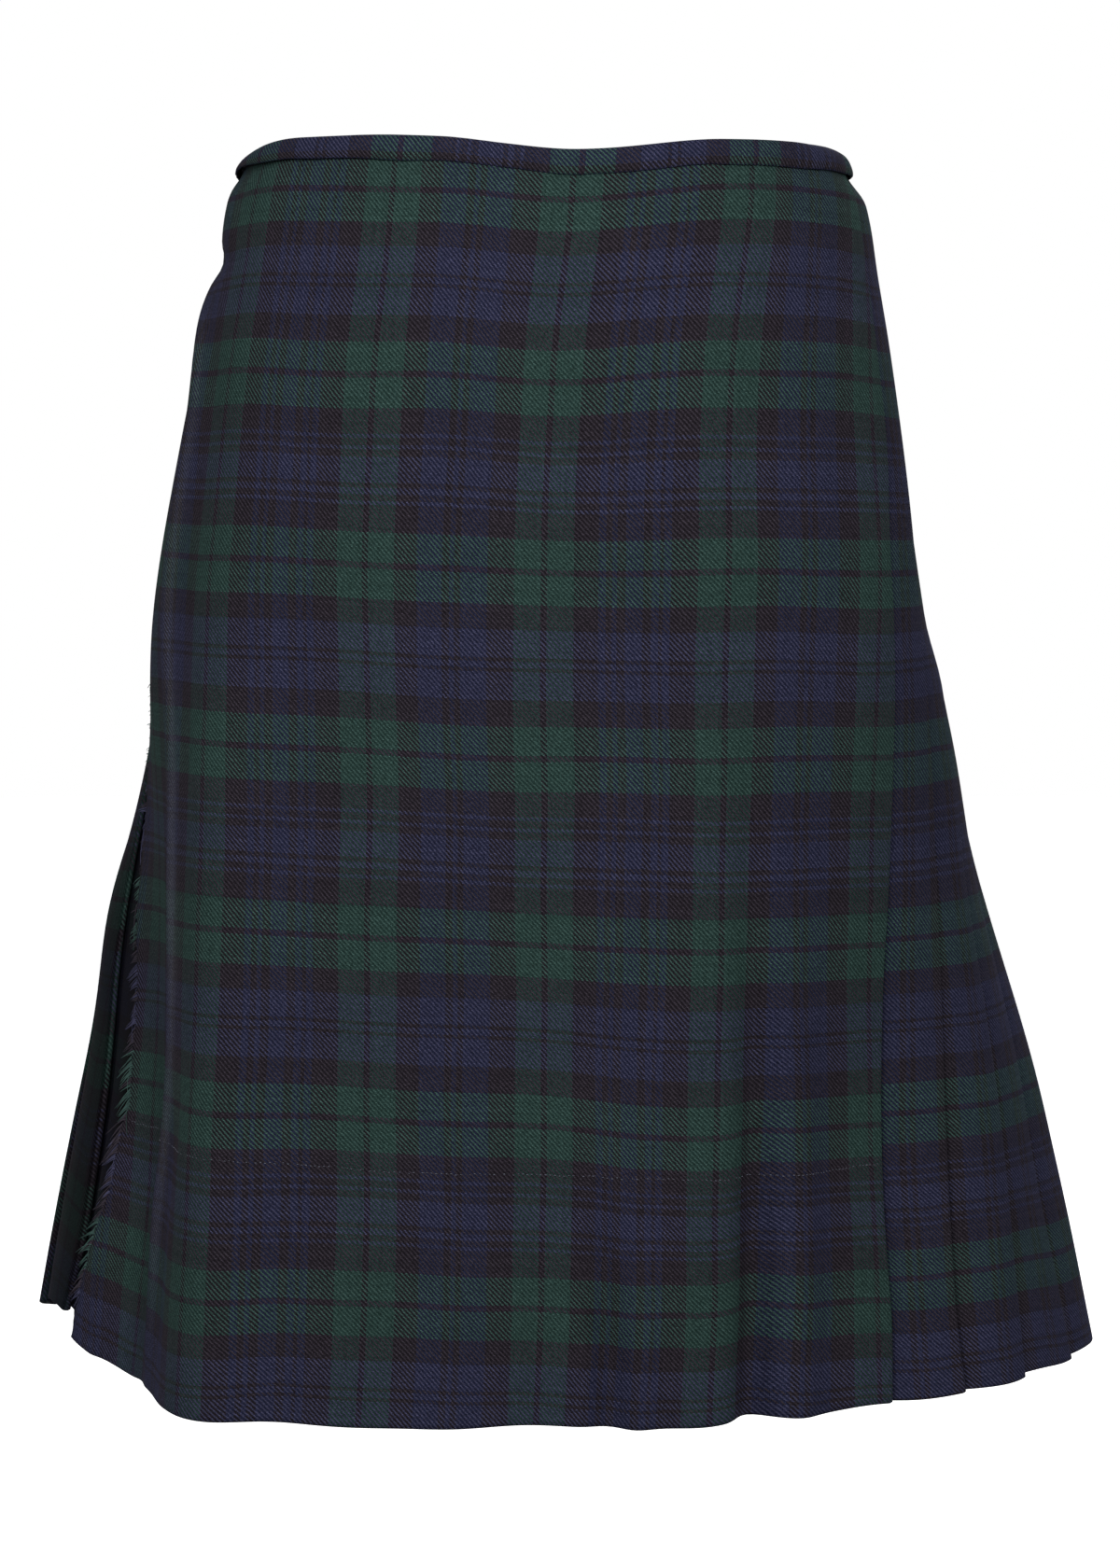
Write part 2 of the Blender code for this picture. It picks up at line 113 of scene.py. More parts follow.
# plan position (x, y) in millimetres of the lines that run down the kilt
LINES = (
    # line             waist            hip              fell             thigh            knee             hem
    ("centre_front",  (15.5, -114.5),  (8.4, -128.5),   (1.0, -140.5),   (0.0, -147.0),   (-1.0, -150.0),  (-6.7, -154.0)),
    ("left_front",    (102.0, -88.0),  (89.6, -123.5),  (88.5, -137.5),  (85.4, -143.5),  (83.4, -146.5),  (79.6, -150.5)),
    ("apron_fold",    (152.5, -30.0),  (166.0, -58.0),  (173.0, -83.0),  (170.5, -86.0),  (168.0, -88.0),  (171.6, -104.0)),
    ("side_pleat",    (157.0, 5.0),    (173.5, 5.0),    (193.5, -5.0),   (215.5, -10.0),  (236.0, -24.0),  (243.0, -49.0)),
    ("left_hip",      (126.0, 70.0),   (144.0, 78.0),   (181.0, 85.0),   (214.0, 90.0),   (256.0, 86.0),   (290.0, 82.0)),
    ("left_back",     (68.0, 103.0),   (80.0, 113.0),   (104.0, 135.0),  (134.0, 159.0),  (158.0, 175.0),  (178.0, 187.0)),
    ("centre_back",   (0.0, 115.0),    (0.0, 125.5),    (0.0, 148.0),    (0.0, 172.0),    (0.0, 190.0),    (0.0, 204.0)),
    ("right_back",    (-60.0, 106.5),  (-74.0, 114.0),  (-108.0, 134.0), (-140.0, 156.5), (-161.0, 174.0), (-178.0, 188.0)),
    ("right_hip",     (-108.0, 85.0),  (-136.0, 86.0),  (-184.0, 86.0),  (-220.5, 90.0),  (-245.0, 100.0), (-272.0, 112.0)),
    ("fringe_edge",   (-137.0, 60.0),  (-166.0, 48.0),  (-198.5, 22.0),  (-205.0, 3.0),   (-223.0, -9.0),  (-240.0, -11.0)),
    ("right_side",    (-156.0, 27.0),  (-178.5, 8.0),   (-197.0, -20.0), (-195.0, -35.0), (-197.0, -41.0), (-208.0, -47.0)),
    ("apron_roll",    (-140.0, -53.0), (-154.0, -75.0), (-163.3, -97.0), (-168.0, -116.0), (-170.0, -124.0), (-176.0, -133.0)),
    ("right_front",   (-71.0, -102.8), (-79.6, -123.0), (-84.9, -138.0), (-83.6, -144.5), (-83.6, -148.5), (-88.5, -152.5)),
)
NAMES = [row[0] for row in LINES]
TABLE = np.array([row[1:] for row in LINES], float) * MM

FIRST_PLEATS = (
    # pleat, share of the average reveal at the hem
    (1, 0.79),
    (2, 0.87),
    (3, 1.00),
)

# Soft troughs (-) and ridges (+) of the over apron.
APRON_FOLDS = (
    # along, along at hem, starts below waist, half width, depth at hem
    (0.100, 0.112, 0.25, 0.0100, -0.0112),
    (0.125, 0.135, 0.27, 0.0125, 0.0058),
    (0.022, 0.038, 0.45, 0.0095, -0.0078),
    (0.042, 0.052, 0.45, 0.0110, 0.0042),
    (-0.060, -0.075, 0.30, 0.0220, 0.0016),
    (-0.118, -0.132, 0.36, 0.0240, -0.0018),
    (-0.165, -0.160, 0.20, 0.0200, 0.0012),
)

# The soft roll at the wearer's right: where its crest runs.
ROLL = (
    # down, along, height
    (0.040, -0.262, 0.0000),
    (0.060, -0.252, 0.0016),
    (0.095, -0.227, 0.0026),
    (0.130, -0.222, 0.0022),
    (0.172, -0.229, 0.0022),
    (0.225, -0.231, 0.0022),
    (0.290, -0.217, 0.0022),
    (0.350, -0.212, 0.0024),
    (0.415, -0.208, 0.0024),
    (0.455, -0.214, 0.0026),
    (0.492, -0.228, 0.0030),
    (0.525, -0.240, 0.0032),
    (0.570, -0.240, 0.0024),
    (0.614, -0.240, 0.0008),
)

# How far the pressed edges stray from their even layout, in millimetres.
EDGE_WANDER = {
    # edge: (depths), (strays)
    0: ((0.10, 0.14, 0.19, 0.23, 0.35, 0.40, 0.44, 0.48, 0.51, 0.545, 0.575, 0.614),
        (0.0, 2.0, 0.0, 1.2, 1.6, 0.2, 0.6, 1.4, 2.0, 3.2, 4.5, 2.8)),
    1: ((0.25, 0.34, 0.42, 0.48, 0.56, 0.58, 0.614),
        (0.0, 5.0, 4.0, 2.4, 1.4, 1.5, 3.5)),
    2: ((0.25, 0.40, 0.48, 0.56, 0.614),
        (0.0, 4.0, 5.0, 3.0, 1.0)),
    17: ((0.36, 0.42, 0.459, 0.490, 0.533, 0.574, 0.614),
         (0.0, 6.0, 14.0, 19.0, 20.0, 18.0, 9.0)),
    18: ((0.34, 0.40, 0.44, 0.49, 0.54, 0.60),
         (0.0, 8.0, 12.0, 13.0, 7.0, 0.0)),
}

# How far the over apron's fringed edge strays the same way, in millimetres.
FREE_EDGE = (
    (0.28, 0.33, 0.36, 0.385, 0.41, 0.43, 0.455, 0.478, 0.495, 0.525, 0.545, 0.57, 0.59, 0.614),
    (0.0, -3.0, -1.0, 4.0, 12.0, 15.0, 16.0, 18.0, 14.0, 12.0, 7.0, 3.0, 0.0, -2.0))

# ---------------------------------------------------------------- tartan
YARN = 0.0006
# Black Watch: K black, G green, B blue, and how many threads of each
SETT = (("K", 4), ("G", 24), ("K", 20), ("B", 22), ("K", 4), ("B", 4), ("K", 4),
        ("B", 22), ("K", 20), ("G", 24), ("K", 4), ("G", 24), ("K", 20), ("B", 4),
        ("K", 5), ("B", 4), ("K", 5), ("B", 20), ("K", 5), ("B", 4), ("K", 5),
        ("B", 4), ("K", 20), ("G", 24))
SETT_WARP = (("K", 4), ("G", 22), ("K", 20), ("B", 21), ("K", 5), ("B", 5), ("K", 5),
             ("B", 22), ("K", 22), ("G", 22), ("K", 4), ("G", 22), ("K", 21), ("B", 6),
             ("K", 4), ("B", 5), ("K", 7), ("B", 14), ("K", 7), ("B", 5), ("K", 4),
             ("B", 6), ("K", 21), ("G", 22))
REPEAT = sum(n for c, n in SETT)
GREEN_A, GREEN_B = 2, 150          # middle threads of the two green bands
PAIR = 76                          # middle of the close pair of blue lines
# depths at which the horizontal green bands have their middles
GREEN_ROWS = (0.0236, 0.1118, 0.2018, 0.2912, 0.3810, 0.4700, 0.5580)
GREEN_ROW_THREADS = tuple(GREEN_A + 148 * k for k in range(len(GREEN_ROWS)))


def smooth(x):
    x = np.clip(x, 0.0, 1.0)
    return x * x * (3.0 - 2.0 * x)


def hermite(xs, ys, x):
    """Cubic through (xs, ys) with averaged slopes, flat outside."""
    n = len(xs)
    if x <= xs[0]:
        return ys[0]
    if x >= xs[n - 1]:
        return ys[n - 1]
    i = max(k for k in range(n - 1) if xs[k] <= x)

    def slope(k):
        a, b = max(k - 1, 0), min(k + 1, n - 1)
        return (ys[b] - ys[a]) / (xs[b] - xs[a])
    h = xs[i + 1] - xs[i]
    t = (x - xs[i]) / h
    return ((2 * t ** 3 - 3 * t ** 2 + 1) * ys[i]
            + (t ** 3 - 2 * t ** 2 + t) * h * slope(i)
            + (-2 * t ** 3 + 3 * t ** 2) * ys[i + 1]
            + (t ** 3 - t ** 2) * h * slope(i + 1))


def stations(down):
    return hermite(HEIGHTS, np.moveaxis(TABLE, 1, 0), down)


class Ring:
    """One closed plan section, walked by its own length."""
    STEPS = 48

    def __init__(self, down):
        pts = stations(down)
        n = len(pts)
        steps = np.arange(self.STEPS) / self.STEPS
        out = []
        for i in range(n):
            p0, p1, p2, p3 = (pts[i - 1], pts[i], pts[(i + 1) % n], pts[(i + 2) % n])

            def gap(a, b):
                return math.hypot(*(b - a)) ** 0.5
            t0 = 0.0
            t1 = t0 + gap(p0, p1)
            t2 = t1 + gap(p1, p2)
            t3 = t2 + gap(p2, p3)
            x = (t1 + (t2 - t1) * steps)[:, None]

            def mix(a, b, ta, tb):
                return a + (b - a) * (x - ta) / (tb - ta)
            a1, a2, a3 = mix(p0, p1, t0, t1), mix(p1, p2, t1, t2), mix(p2, p3, t2, t3)
            out.append(mix(mix(a1, a2, t0, t2), mix(a2, a3, t1, t3), t1, t2))
        self.points = np.concatenate(out)
        closed = np.vstack([self.points, self.points[:1]])
        self.lengths = np.concatenate(
            [[0.0], np.cumsum(np.hypot(*np.diff(closed, axis=0).T))])
        self.closed = closed
        self.total = float(self.lengths[-1])

    def along(self, name):
        return float(self.lengths[NAMES.index(name) * self.STEPS])

    def raw(self, s):
        s = np.mod(s, self.total)
        return np.stack([np.interp(s, self.lengths, self.closed[:, 0]),
                         np.interp(s, self.lengths, self.closed[:, 1])], -1)

    def at(self, s, out):
        p = self.raw(s)
        d = self.raw(s + 0.004) - self.raw(s - 0.004)
        d /= np.hypot(d[..., 0], d[..., 1])[..., None]
        normal = np.stack([d[..., 1], -d[..., 0]], -1)
        return p + normal * np.asarray(out)[..., None]


_rings = {}


def ring(down):
    key = round(float(down), 6)
    if key not in _rings:
        _rings[key] = Ring(min(max(key, 0.0), KILT_LENGTH))
    return _rings[key]


def front_s(down, s):
    """Length wrapped so that it is 0 at the centre front and runs both ways."""
    total = ring(down).total
    return (np.asarray(s, float) + total / 2) % total - total / 2


def rise(down, s):
    s = front_s(down, s)
    front = np.where(s < 0, DIP_RIGHT * smooth(-s / 0.065), DIP_LEFT * smooth(s / 0.075))
    side = smooth((np.abs(s) - 0.145) / 0.06)
    return (front + (DIP_BACK - front) * side) * (1.0 - smooth(down / 0.26))


def pitch(down):
    return PITCH_WAIST + (PITCH_HEM - PITCH_WAIST) * smooth(
        (down - FELL_END + 0.03) / (KILT_LENGTH - FELL_END))


def fold_radius(down):
    loose = smooth((down - FELL_END + 0.03) / 0.12)
    return (pitch(down) - CLEAR - (CLEAR_LOOSE - CLEAR) * loose) / 2


_stray = [(rng.uniform(0, 6.28), rng.uniform(0, 6.28), rng.uniform(0.6, 1.4))
          for _ in range(PLEATS + 2)]


def wander(down, j):
    """How far the pressed edge j strays along the ring at this depth."""
    if j in EDGE_WANDER:
        return hermite(*EDGE_WANDER[j], down) * MM
    if j < 0:
        return wander(down, 0)
    a, b, size = _stray[j]
    loose = smooth((down - 0.20) / 0.16)
    return float(0.0011 * size * loose * (math.sin(a + down * 19.0)
                                          + 0.6 * math.sin(b + down * 41.0)))


def fold_edge(down, j):
    r = ring(down)
    first, back = r.along("apron_fold"), r.along("centre_back")
    last = r.along("fringe_edge") + TUCK
    hem = smooth((down - 0.10) / (KILT_LENGTH - 0.10))
    shares = [1.0] * PLEATS
    for pleat, share in FIRST_PLEATS:
        shares[pleat - 1] = 1.0 + (share - 1.0) * hem
    half = sum(shares[:CENTRE_PLEAT]) - 0.5
    if j < 0:
        return float(first + j * (back - first) * shares[0] / half + wander(down, j))
    done = sum(shares[:j])
    if done <= half:
        at = first + (back - first) * done / half
    else:
        at = back + (last - back) * (done - half) / (sum(shares) - half)
    return float(at + wander(down, j))


_edges = {}


def edges(down):
    key = round(float(down), 6)
    if key not in _edges:
        _edges[key] = np.array([fold_edge(down, j) for j in range(-1, PLEATS + 1)])
    return _edges[key]


def tuck_in(down, s):
    end = ring(down).along("fringe_edge")
    show = (end - ring(down).along("apron_fold")) / PLEATS
    depth = 0.0028 + 0.0032 * (1.0 - smooth((down - 0.02) / 0.06))
    return depth * smooth((s - (end - 3.0 * show)) / (2.6 * show))


def under_out(down):
    return -0.0064 - 0.0030 * smooth((down - 0.02) / 0.25)


def free_edge(down):
    """Where the over apron's fringed edge runs, as a front length."""
    r = ring(down)
    return r.along("fringe_edge") - r.total + hermite(*FREE_EDGE, down) * MM


# ---------------------------------------------------------------- drape
def drape(down, s):
    """Outward offset that all the layers share at one place."""
    f = front_s(down, s)
    total = ring(down).total
    turn = f / total * 2 * math.pi
    # drawn in at both hips by the waistband, full just below it
    hips = np.exp(-((np.abs(f) - 0.215) / 0.075) ** 2)
    out = -0.0024 * hips * (1.0 - smooth((down - 0.007) / 0.014))
    out = out - 0.0052 * np.exp(-((f + 0.268) / 0.048) ** 2) * (1.0 - smooth((down - 0.004) / 0.011))
    out = out - 0.0052 * np.exp(-((f - 0.206) / 0.042) ** 2) * (1.0 - smooth((down - 0.006) / 0.019))
    out = out + 0.0012 * hips * math.exp(-((down - 0.034) / 0.018) ** 2)
    # the pleats at the wearer's left swing forward at the hem
    out = out + 0.0042 * math.exp(-((down - 0.390) / 0.045) ** 2) * np.exp(
        -((f + 0.390) / 0.050) ** 2)
    out = out + smooth((down - 0.50) / 0.11) * 0.0052 * np.exp(-((f - 0.342) / 0.040) ** 2)
    out = out - smooth((down - 0.42) / 0.18) * 0.0050 * np.exp(-((f - 0.435) / 0.070) ** 2)
    out = out - 0.0034 * math.exp(-((down - 0.050) / 0.020) ** 2) * np.exp(
        -((f + 0.262) / 0.050) ** 2)
    # the pleats spring from the end of their stitching at the wearer's left
    out = out + 0.0038 * smooth((down - 0.228) / 0.036) * (
        1.0 - smooth((down - 0.290) / 0.085)) * np.exp(-((f - 0.285) / 0.060) ** 2)
    # the pinch under the wearer's right hip
    out = out - 0.0030 * math.exp(-((down - 0.0525 ) / 0.0065) ** 2) * np.exp(
        -((f + 0.232) / 0.036) ** 2)
    # the soft roll down the wearer's right
    rd = [r[0] for r in ROLL]
    crest = hermite(rd, [r[1] for r in ROLL], down)
    height = hermite(rd, [r[2] for r in ROLL], down)
    d = (f - crest)
    out = out + height * (1.2 * np.exp(-(d / 0.0080) ** 2)
                          - 0.45 * np.exp(-((d - 0.024) / 0.013) ** 2)
                          - 0.35 * np.exp(-((d + 0.024) / 0.013) ** 2))
    # swing of the loose cloth
    loose = smooth((down - 0.16) / 0.40)
    out = out + 0.0007 * smooth(down / 0.2) * (
        np.sin(turn * 9 + 1.1 + down * 6.0) + 0.7 * np.sin(turn * 14 + 4.0 - down * 9.0))
    back = smooth((np.abs(f) - 0.24) / 0.10)
    out = out + back * loose * (0.0022 * np.sin(turn * 7 + 0.6 + down * 3.0)
                                + 0.0014 * np.sin(turn * 12 + 2.2 - down * 4.0))
    # each visible pleat face is slightly crowned
    e = edges(down)[1:]
    raw = np.mod(np.asarray(s, float) - (e[0] - 0.02), total) + (e[0] - 0.02)
    k = np.clip(np.searchsorted(e, raw) - 1, 0, len(e) - 2)
    phase = np.clip((raw - e[k]) / (e[k + 1] - e[k]), 0.0, 1.0)
    crown = (0.0003 + 0.0021 * smooth((down - 0.18) / 0.30))
    out = out + crown * (1.0 - np.abs(2 * phase - 1) ** 2.2) * (raw > e[0]) * (raw < e[-1])
    return out


def apron_out(down, s):
    out = np.zeros_like(np.asarray(s, float))
    for top_at, hem_at, top, half, depth in APRON_FOLDS:
        fade = smooth((down - top) / (KILT_LENGTH - top))
        at = top_at + (hem_at - top_at) * smooth((down - top) / (KILT_LENGTH - top))
        out = out + depth * fade * np.exp(-((s - at) / half) ** 2)
    # the free edge stands off a little towards the hem
    flare = 0.0010 * smooth((down - 0.30) / 0.10) + 0.0032 * smooth((down - 0.49) / 0.10)
    out = out + flare * np.exp(-((s - free_edge(down)) / 0.022) ** 2)
    return out


def hem_drop(s_front):
    """How much lower (-) or higher (+) the hem hangs, front lengths."""
    a = np.asarray(s_front, float)
    corner = (1.0 - smooth((a + 0.324) / 0.026)) * smooth((a + 0.46) / 0.08)
    tip = (1.0 - smooth((a + 0.367) / 0.045)) * smooth((a + 0.46) / 0.08)
    tip = 0.0058 * tip + 0.0066 * (1.0 - smooth((a + 0.300) / 0.036)) * smooth((a + 0.345) / 0.02)
    return (0.0085 * corner + tip - 0.0012 * np.exp(-((a - 0.042) / 0.014) ** 2)
            + 0.0010 * np.exp(-((a - 0.108) / 0.020) ** 2)
            + 0.0006 * np.sin(a * 46.0 + 0.8) + 0.0004 * np.sin(a * 103.0 + 2.0))


def place(down, s, out, lift=0.0):
    """Points at one depth; out is measured from the ring of sections."""
    s = np.asarray(s, float)
    p = ring(down).at(s, np.asarray(out) + drape(down, s))
    z = (rise(down, s) - down + lift
         + hem_drop(front_s(down, s)) * smooth((down - 0.40) / 0.20))
    return np.stack([p[..., 0], p[..., 1], z], -1)


# ---------------------------------------------------------------- threads
def slow(down, s, seed):
    """Lazy waviness of the weave, about half a millimetre."""
    return (0.00035 * np.sin(s * 31.0 + down * 17.0 + seed)
            + 0.00030 * np.sin(s * 57.0 - down * 29.0 + seed * 2.3)
            + 0.00022 * np.sin(s * 13.0 + down * 71.0 + seed * 4.1))


def lower(down, s):
    """How much lower the pattern lies at the wearer's left side."""
    f = np.asarray(s, float)
    depth = 0.0045 * smooth((down - 0.12) / 0.17) + 0.0050 * smooth((down - 0.29) / 0.10)
    return depth * smooth((f - 0.095) / 0.10) * (1.0 - smooth((f - 0.60) / 0.25))


# How far the crossings of the thin black lines stray from an even grid,
# in millimetres: one row per GREEN_ROWS depth, one column per line across
# the apron from the wearer's right to the left.
STRAY_ACROSS = np.array((
    (5.0, 1.2, -0.9, 1.9, 0.0),
    (-0.7, -1.2, -3.2, -5.6, -3.0),
    (-0.5, 0.7, -1.9, -2.6, 1.0),
    (4.1, 5.0, -0.2, -2.0, -2.0),
    (4.7, 4.5, 0.1, -3.1, -1.2),
    (0.8, 3.9, 0.6, -4.3, 3.0),
    (-0.6, 6.1, 3.3, -2.4, 6.0))) * MM
STRAY_DOWN = np.array((
    (-2.8, 0.7, 1.4, -2.3, -0.9),
    (-4.2, -0.3, 0.0, -2.0, 0.6),
    (-5.2, -2.0, 0.7, 1.8, 1.2),
    (-5.0, -3.3, 0.3, 1.8, -1.0),
    (-5.1, -4.3, 0.3, 3.8, -1.8),
    (-5.1, -5.2, -1.0, 4.4, -1.5),
    (-1.1, -3.9, -1.1, 2.0, -3.4))) * MM


def stray(table, down, s):
    """Smooth surface through one of the tables above."""
    rows, cols = table.shape
    v = float(np.interp(down, GREEN_ROWS, range(rows)))
    u = np.clip(np.asarray(s, float) / (148 * YARN) + 2.0, 0.0, cols - 1.0)

    def weights(t):
        return (0.5 * (-t + 2 * t ** 2 - t ** 3), 0.5 * (2 - 5 * t ** 2 + 3 * t ** 3),
                0.5 * (t + 4 * t ** 2 - 3 * t ** 3), 0.5 * (-t ** 2 + t ** 3))
    i = np.minimum(np.floor(u).astype(int), cols - 2)
    j = min(int(v), rows - 2)
    out = 0.0
    for a, wa in enumerate(weights(v - j)):
        row = table[min(max(j + a - 1, 0), rows - 1)]
        for b, wb in enumerate(weights(u - i)):
            out = out + wa * wb * row[np.clip(i + b - 1, 0, cols - 1)]
    return out


def weft_at(down, s):
    """Thread coordinate down the cloth, in metres."""
    f = front_s(down, s)
    near = 1.0 - smooth((np.abs(f) - 0.24) / 0.16)
    d = down - lower(down, s) + slow(down, s, 1.0) - stray(STRAY_DOWN, down, f) * near
    t = np.interp(d, GREEN_ROWS, GREEN_ROW_THREADS)
    step = 148.0 / (GREEN_ROWS[1] - GREEN_ROWS[0])
    last = 148.0 / (GREEN_ROWS[-1] - GREEN_ROWS[-2])
    t = np.where(d < GREEN_ROWS[0], GREEN_ROW_THREADS[0] + (d - GREEN_ROWS[0]) * step, t)
    t = np.where(d > GREEN_ROWS[-1], GREEN_ROW_THREADS[-1] + (d - GREEN_ROWS[-1]) * last, t)
    return (t + 2 * REPEAT) * YARN


def warp_at(down, s):
    """Thread coordinate across the aprons, in metres."""
    return (s - stray(STRAY_ACROSS, down, s) + (GREEN_B + 4 * REPEAT) * YARN
            + slow(down, s, 5.0))


# ---------------------------------------------------------------- meshes
def shell(name, P, Q, uv_out, uv_in, mats, bake=(0.775, 0.195), dark=None,
          pale=None):
    """A closed shell between an outer and an inner grid of points.

    P and Q are rows x columns x 3, rows from the top down and columns
    towards the wearer's left, so the faces look outwards.
    """
    R, C = P.shape[:2]
    n = R * C
    ring_rc = ([(0, c) for c in range(C)] + [(r, C - 1) for r in range(1, R)]
               + [(R - 1, c) for c in range(C - 2, -1, -1)]
               + [(r, 0) for r in range(R - 2, 0, -1)])
    rr = np.array([a for a, b in ring_rc])
    cc = np.array([b for a, b in ring_rc])
    ri = np.clip(rr, 1, R - 2)
    ci = np.clip(cc, 1, C - 2)
    M = len(rr)
    thick = np.linalg.norm(P - Q, axis=2)[rr, cc]
    away = (P[rr, cc] - P[ri, ci])
    away /= np.maximum(np.linalg.norm(away, axis=1), 1e-9)[:, None]
    mid = (P[rr, cc] + Q[rr, cc]) / 2 + away * (0.38 * thick)[:, None]
    verts = np.concatenate([P.reshape(-1, 3), Q.reshape(-1, 3), mid])
    idx = np.arange(n).reshape(R, C)
    a, b, c, d = idx[:-1, :-1], idx[1:, :-1], idx[1:, 1:], idx[:-1, 1:]
    outer = np.stack([a, b, c, d], -1).reshape(-1, 4)
    inner = np.stack([a, d, c, b], -1).reshape(-1, 4) + n
    ob = idx[rr, cc]
    ib = ob + n
    mb = 2 * n + np.arange(M)
    nx = np.roll(np.arange(M), -1)
    rim_a = np.stack([ob, ob[nx], mb[nx], mb], -1)
    rim_b = np.stack([mb, mb[nx], ib[nx], ib], -1)
    faces = np.concatenate([outer, inner, rim_a, rim_b])
    mesh = bpy.data.meshes.new(name)
    mesh.vertices.add(len(verts))
    mesh.vertices.foreach_set("co", verts.astype(np.float32).ravel())
    mesh.loops.add(faces.size)
    mesh.loops.foreach_set("vertex_index", faces.astype(np.int32).ravel())
    mesh.polygons.add(len(faces))
    mesh.polygons.foreach_set("loop_start", np.arange(0, faces.size, 4, dtype=np.int32))
    mesh.update(calc_edges=True)
    mesh.polygons.foreach_set("use_smooth", np.ones(len(faces), bool))
    # threads
    uo, ui = uv_out.reshape(-1, 2), uv_in.reshape(-1, 2)
    step = uv_out[rr, cc] - uv_out[ri, ci]
    step /= np.maximum(np.linalg.norm(step, axis=1), 1e-9)[:, None]
    um = uv_out[rr, cc] + step * 0.0004
    uv_all = np.concatenate([uo, ui, um])
    layer = mesh.uv_layers.new(name="thread")
    layer.data.foreach_set("uv", uv_all[faces.ravel()].astype(np.float32).ravel())
    # room for each face on its own
    cols = np.arange(C) / (C - 1)
    rows = np.arange(R) / (R - 1)
    go = np.stack(np.broadcast_arrays(0.005 + bake[0] * cols[None, :],
                                      0.97 - 0.94 * rows[:, None]), -1).reshape(-1, 2)
    gi = np.stack(np.broadcast_arrays(0.795 + bake[1] * cols[None, :],
                                      0.97 - 0.94 * rows[:, None]), -1).reshape(-1, 2)
    g = np.concatenate([go, gi])
    main = g[faces[:len(outer) + len(inner)].ravel()]
    t0 = 0.005 + 0.99 * np.arange(M) / M
    t1 = 0.005 + 0.99 * (np.arange(M) + 1) / M

    def strip(y0, y1, flip):
        q = np.stack([np.stack([t0, np.full(M, y0)], -1), np.stack([t1, np.full(M, y0)], -1),
                      np.stack([t1, np.full(M, y1)], -1), np.stack([t0, np.full(M, y1)], -1)], 1)
        return q.reshape(-1, 2)
    bakes = np.concatenate([main, strip(0.010, 0.003, 0), strip(0.022, 0.015, 0)])
    layer = mesh.uv_layers.new(name="OFBake")
    layer.data.foreach_set("uv", bakes.astype(np.float32).ravel())
    mesh.uv_layers["thread"].active = True
    mesh.uv_layers["thread"].active_render = True
    # painted shade (darker) and painted highlight (paler) on the cloth, 0 to 1
    dark = np.zeros((R, C)) if dark is None else dark
    dark_all = np.concatenate([dark.ravel(), dark.ravel(), dark[rr, cc]])
    pale = np.zeros((R, C)) if pale is None else pale
    pale_all = np.concatenate([pale.ravel(), pale.ravel(), pale[rr, cc]])
    layer = mesh.uv_layers.new(name="wear")
    layer.data.foreach_set("uv", np.stack([dark_all, pale_all], -1)[
        faces.ravel()].astype(np.float32).ravel())
    mesh.uv_layers["thread"].active = True
    ob_ = bpy.data.objects.new(name, mesh)
    bpy.context.scene.collection.objects.link(ob_)
    mesh.materials.append(mats)
    return ob_


def inset(S, O, thick):
    """Second side of a profile of (length, outward) points, thick inwards."""
    ds = np.gradient(S)
    do = np.gradient(O)
    size = np.maximum(np.hypot(ds, do), 1e-9)
    return S + do / size * thick, O - ds / size * thick


def hem_thick(down, base, hem):
    return base + (hem - base) * float(smooth((down - 0.486) / 0.010)) \
        + 0.0003 * float(smooth((down - 0.600) / 0.012))


def row_depths(first, coarse, fine_top=0.03, last=KILT_LENGTH):
    """Depths of the rows: closer together at the top and at the hem."""
    out = [first]
    while out[-1] < last - 1e-6:
        d = out[-1]
        step = coarse
        if d < fine_top:
            step = min(coarse, 0.0022)
        elif d < 0.075:
            step = min(coarse, 0.0035)
        elif d > last - 0.014:
            step = min(coarse, 0.0022)
        out.append(d + step)
    out[-1] = last
    if out[-1] - out[-2] < 0.0008:
        out.pop(-2)
    return out


def cloth(name, downs, profile, mats, thick, shift=None, lift=0.0, dark=None,
          pale=None):
    """profile(down) gives lengths, outward offsets and warp coordinates."""
    P, Q, U, V, D, E = [], [], [], [], [], []
    for d in downs:
        S, O, W = profile(d)
        if dark:
            D.append(dark(d, S))
        if pale:
            E.append(pale(d, S))
        S2, O2 = inset(S, O, thick(d))
        up = lift * float(smooth((d - 0.36) / 0.24))
        P.append(place(d, S, O, up))
        Q.append(place(d, S2, O2, up))
        weft = weft_at(d, S) + (shift(d) if shift else 0.0)
        U.append(np.stack([W, weft], -1))
        V.append(np.stack([W, weft], -1))
    return shell(name, np.array(P), np.array(Q), np.array(U), np.array(V), mats,
                 dark=np.array(D) if dark else None,
                 pale=np.array(E) if pale else None)


def arc_points(sc, oc, rad, n):
    a = np.linspace(0.0, math.pi, n + 2)[1:-1]
    return sc + rad * np.sin(a), oc + rad * np.cos(a), rad * a


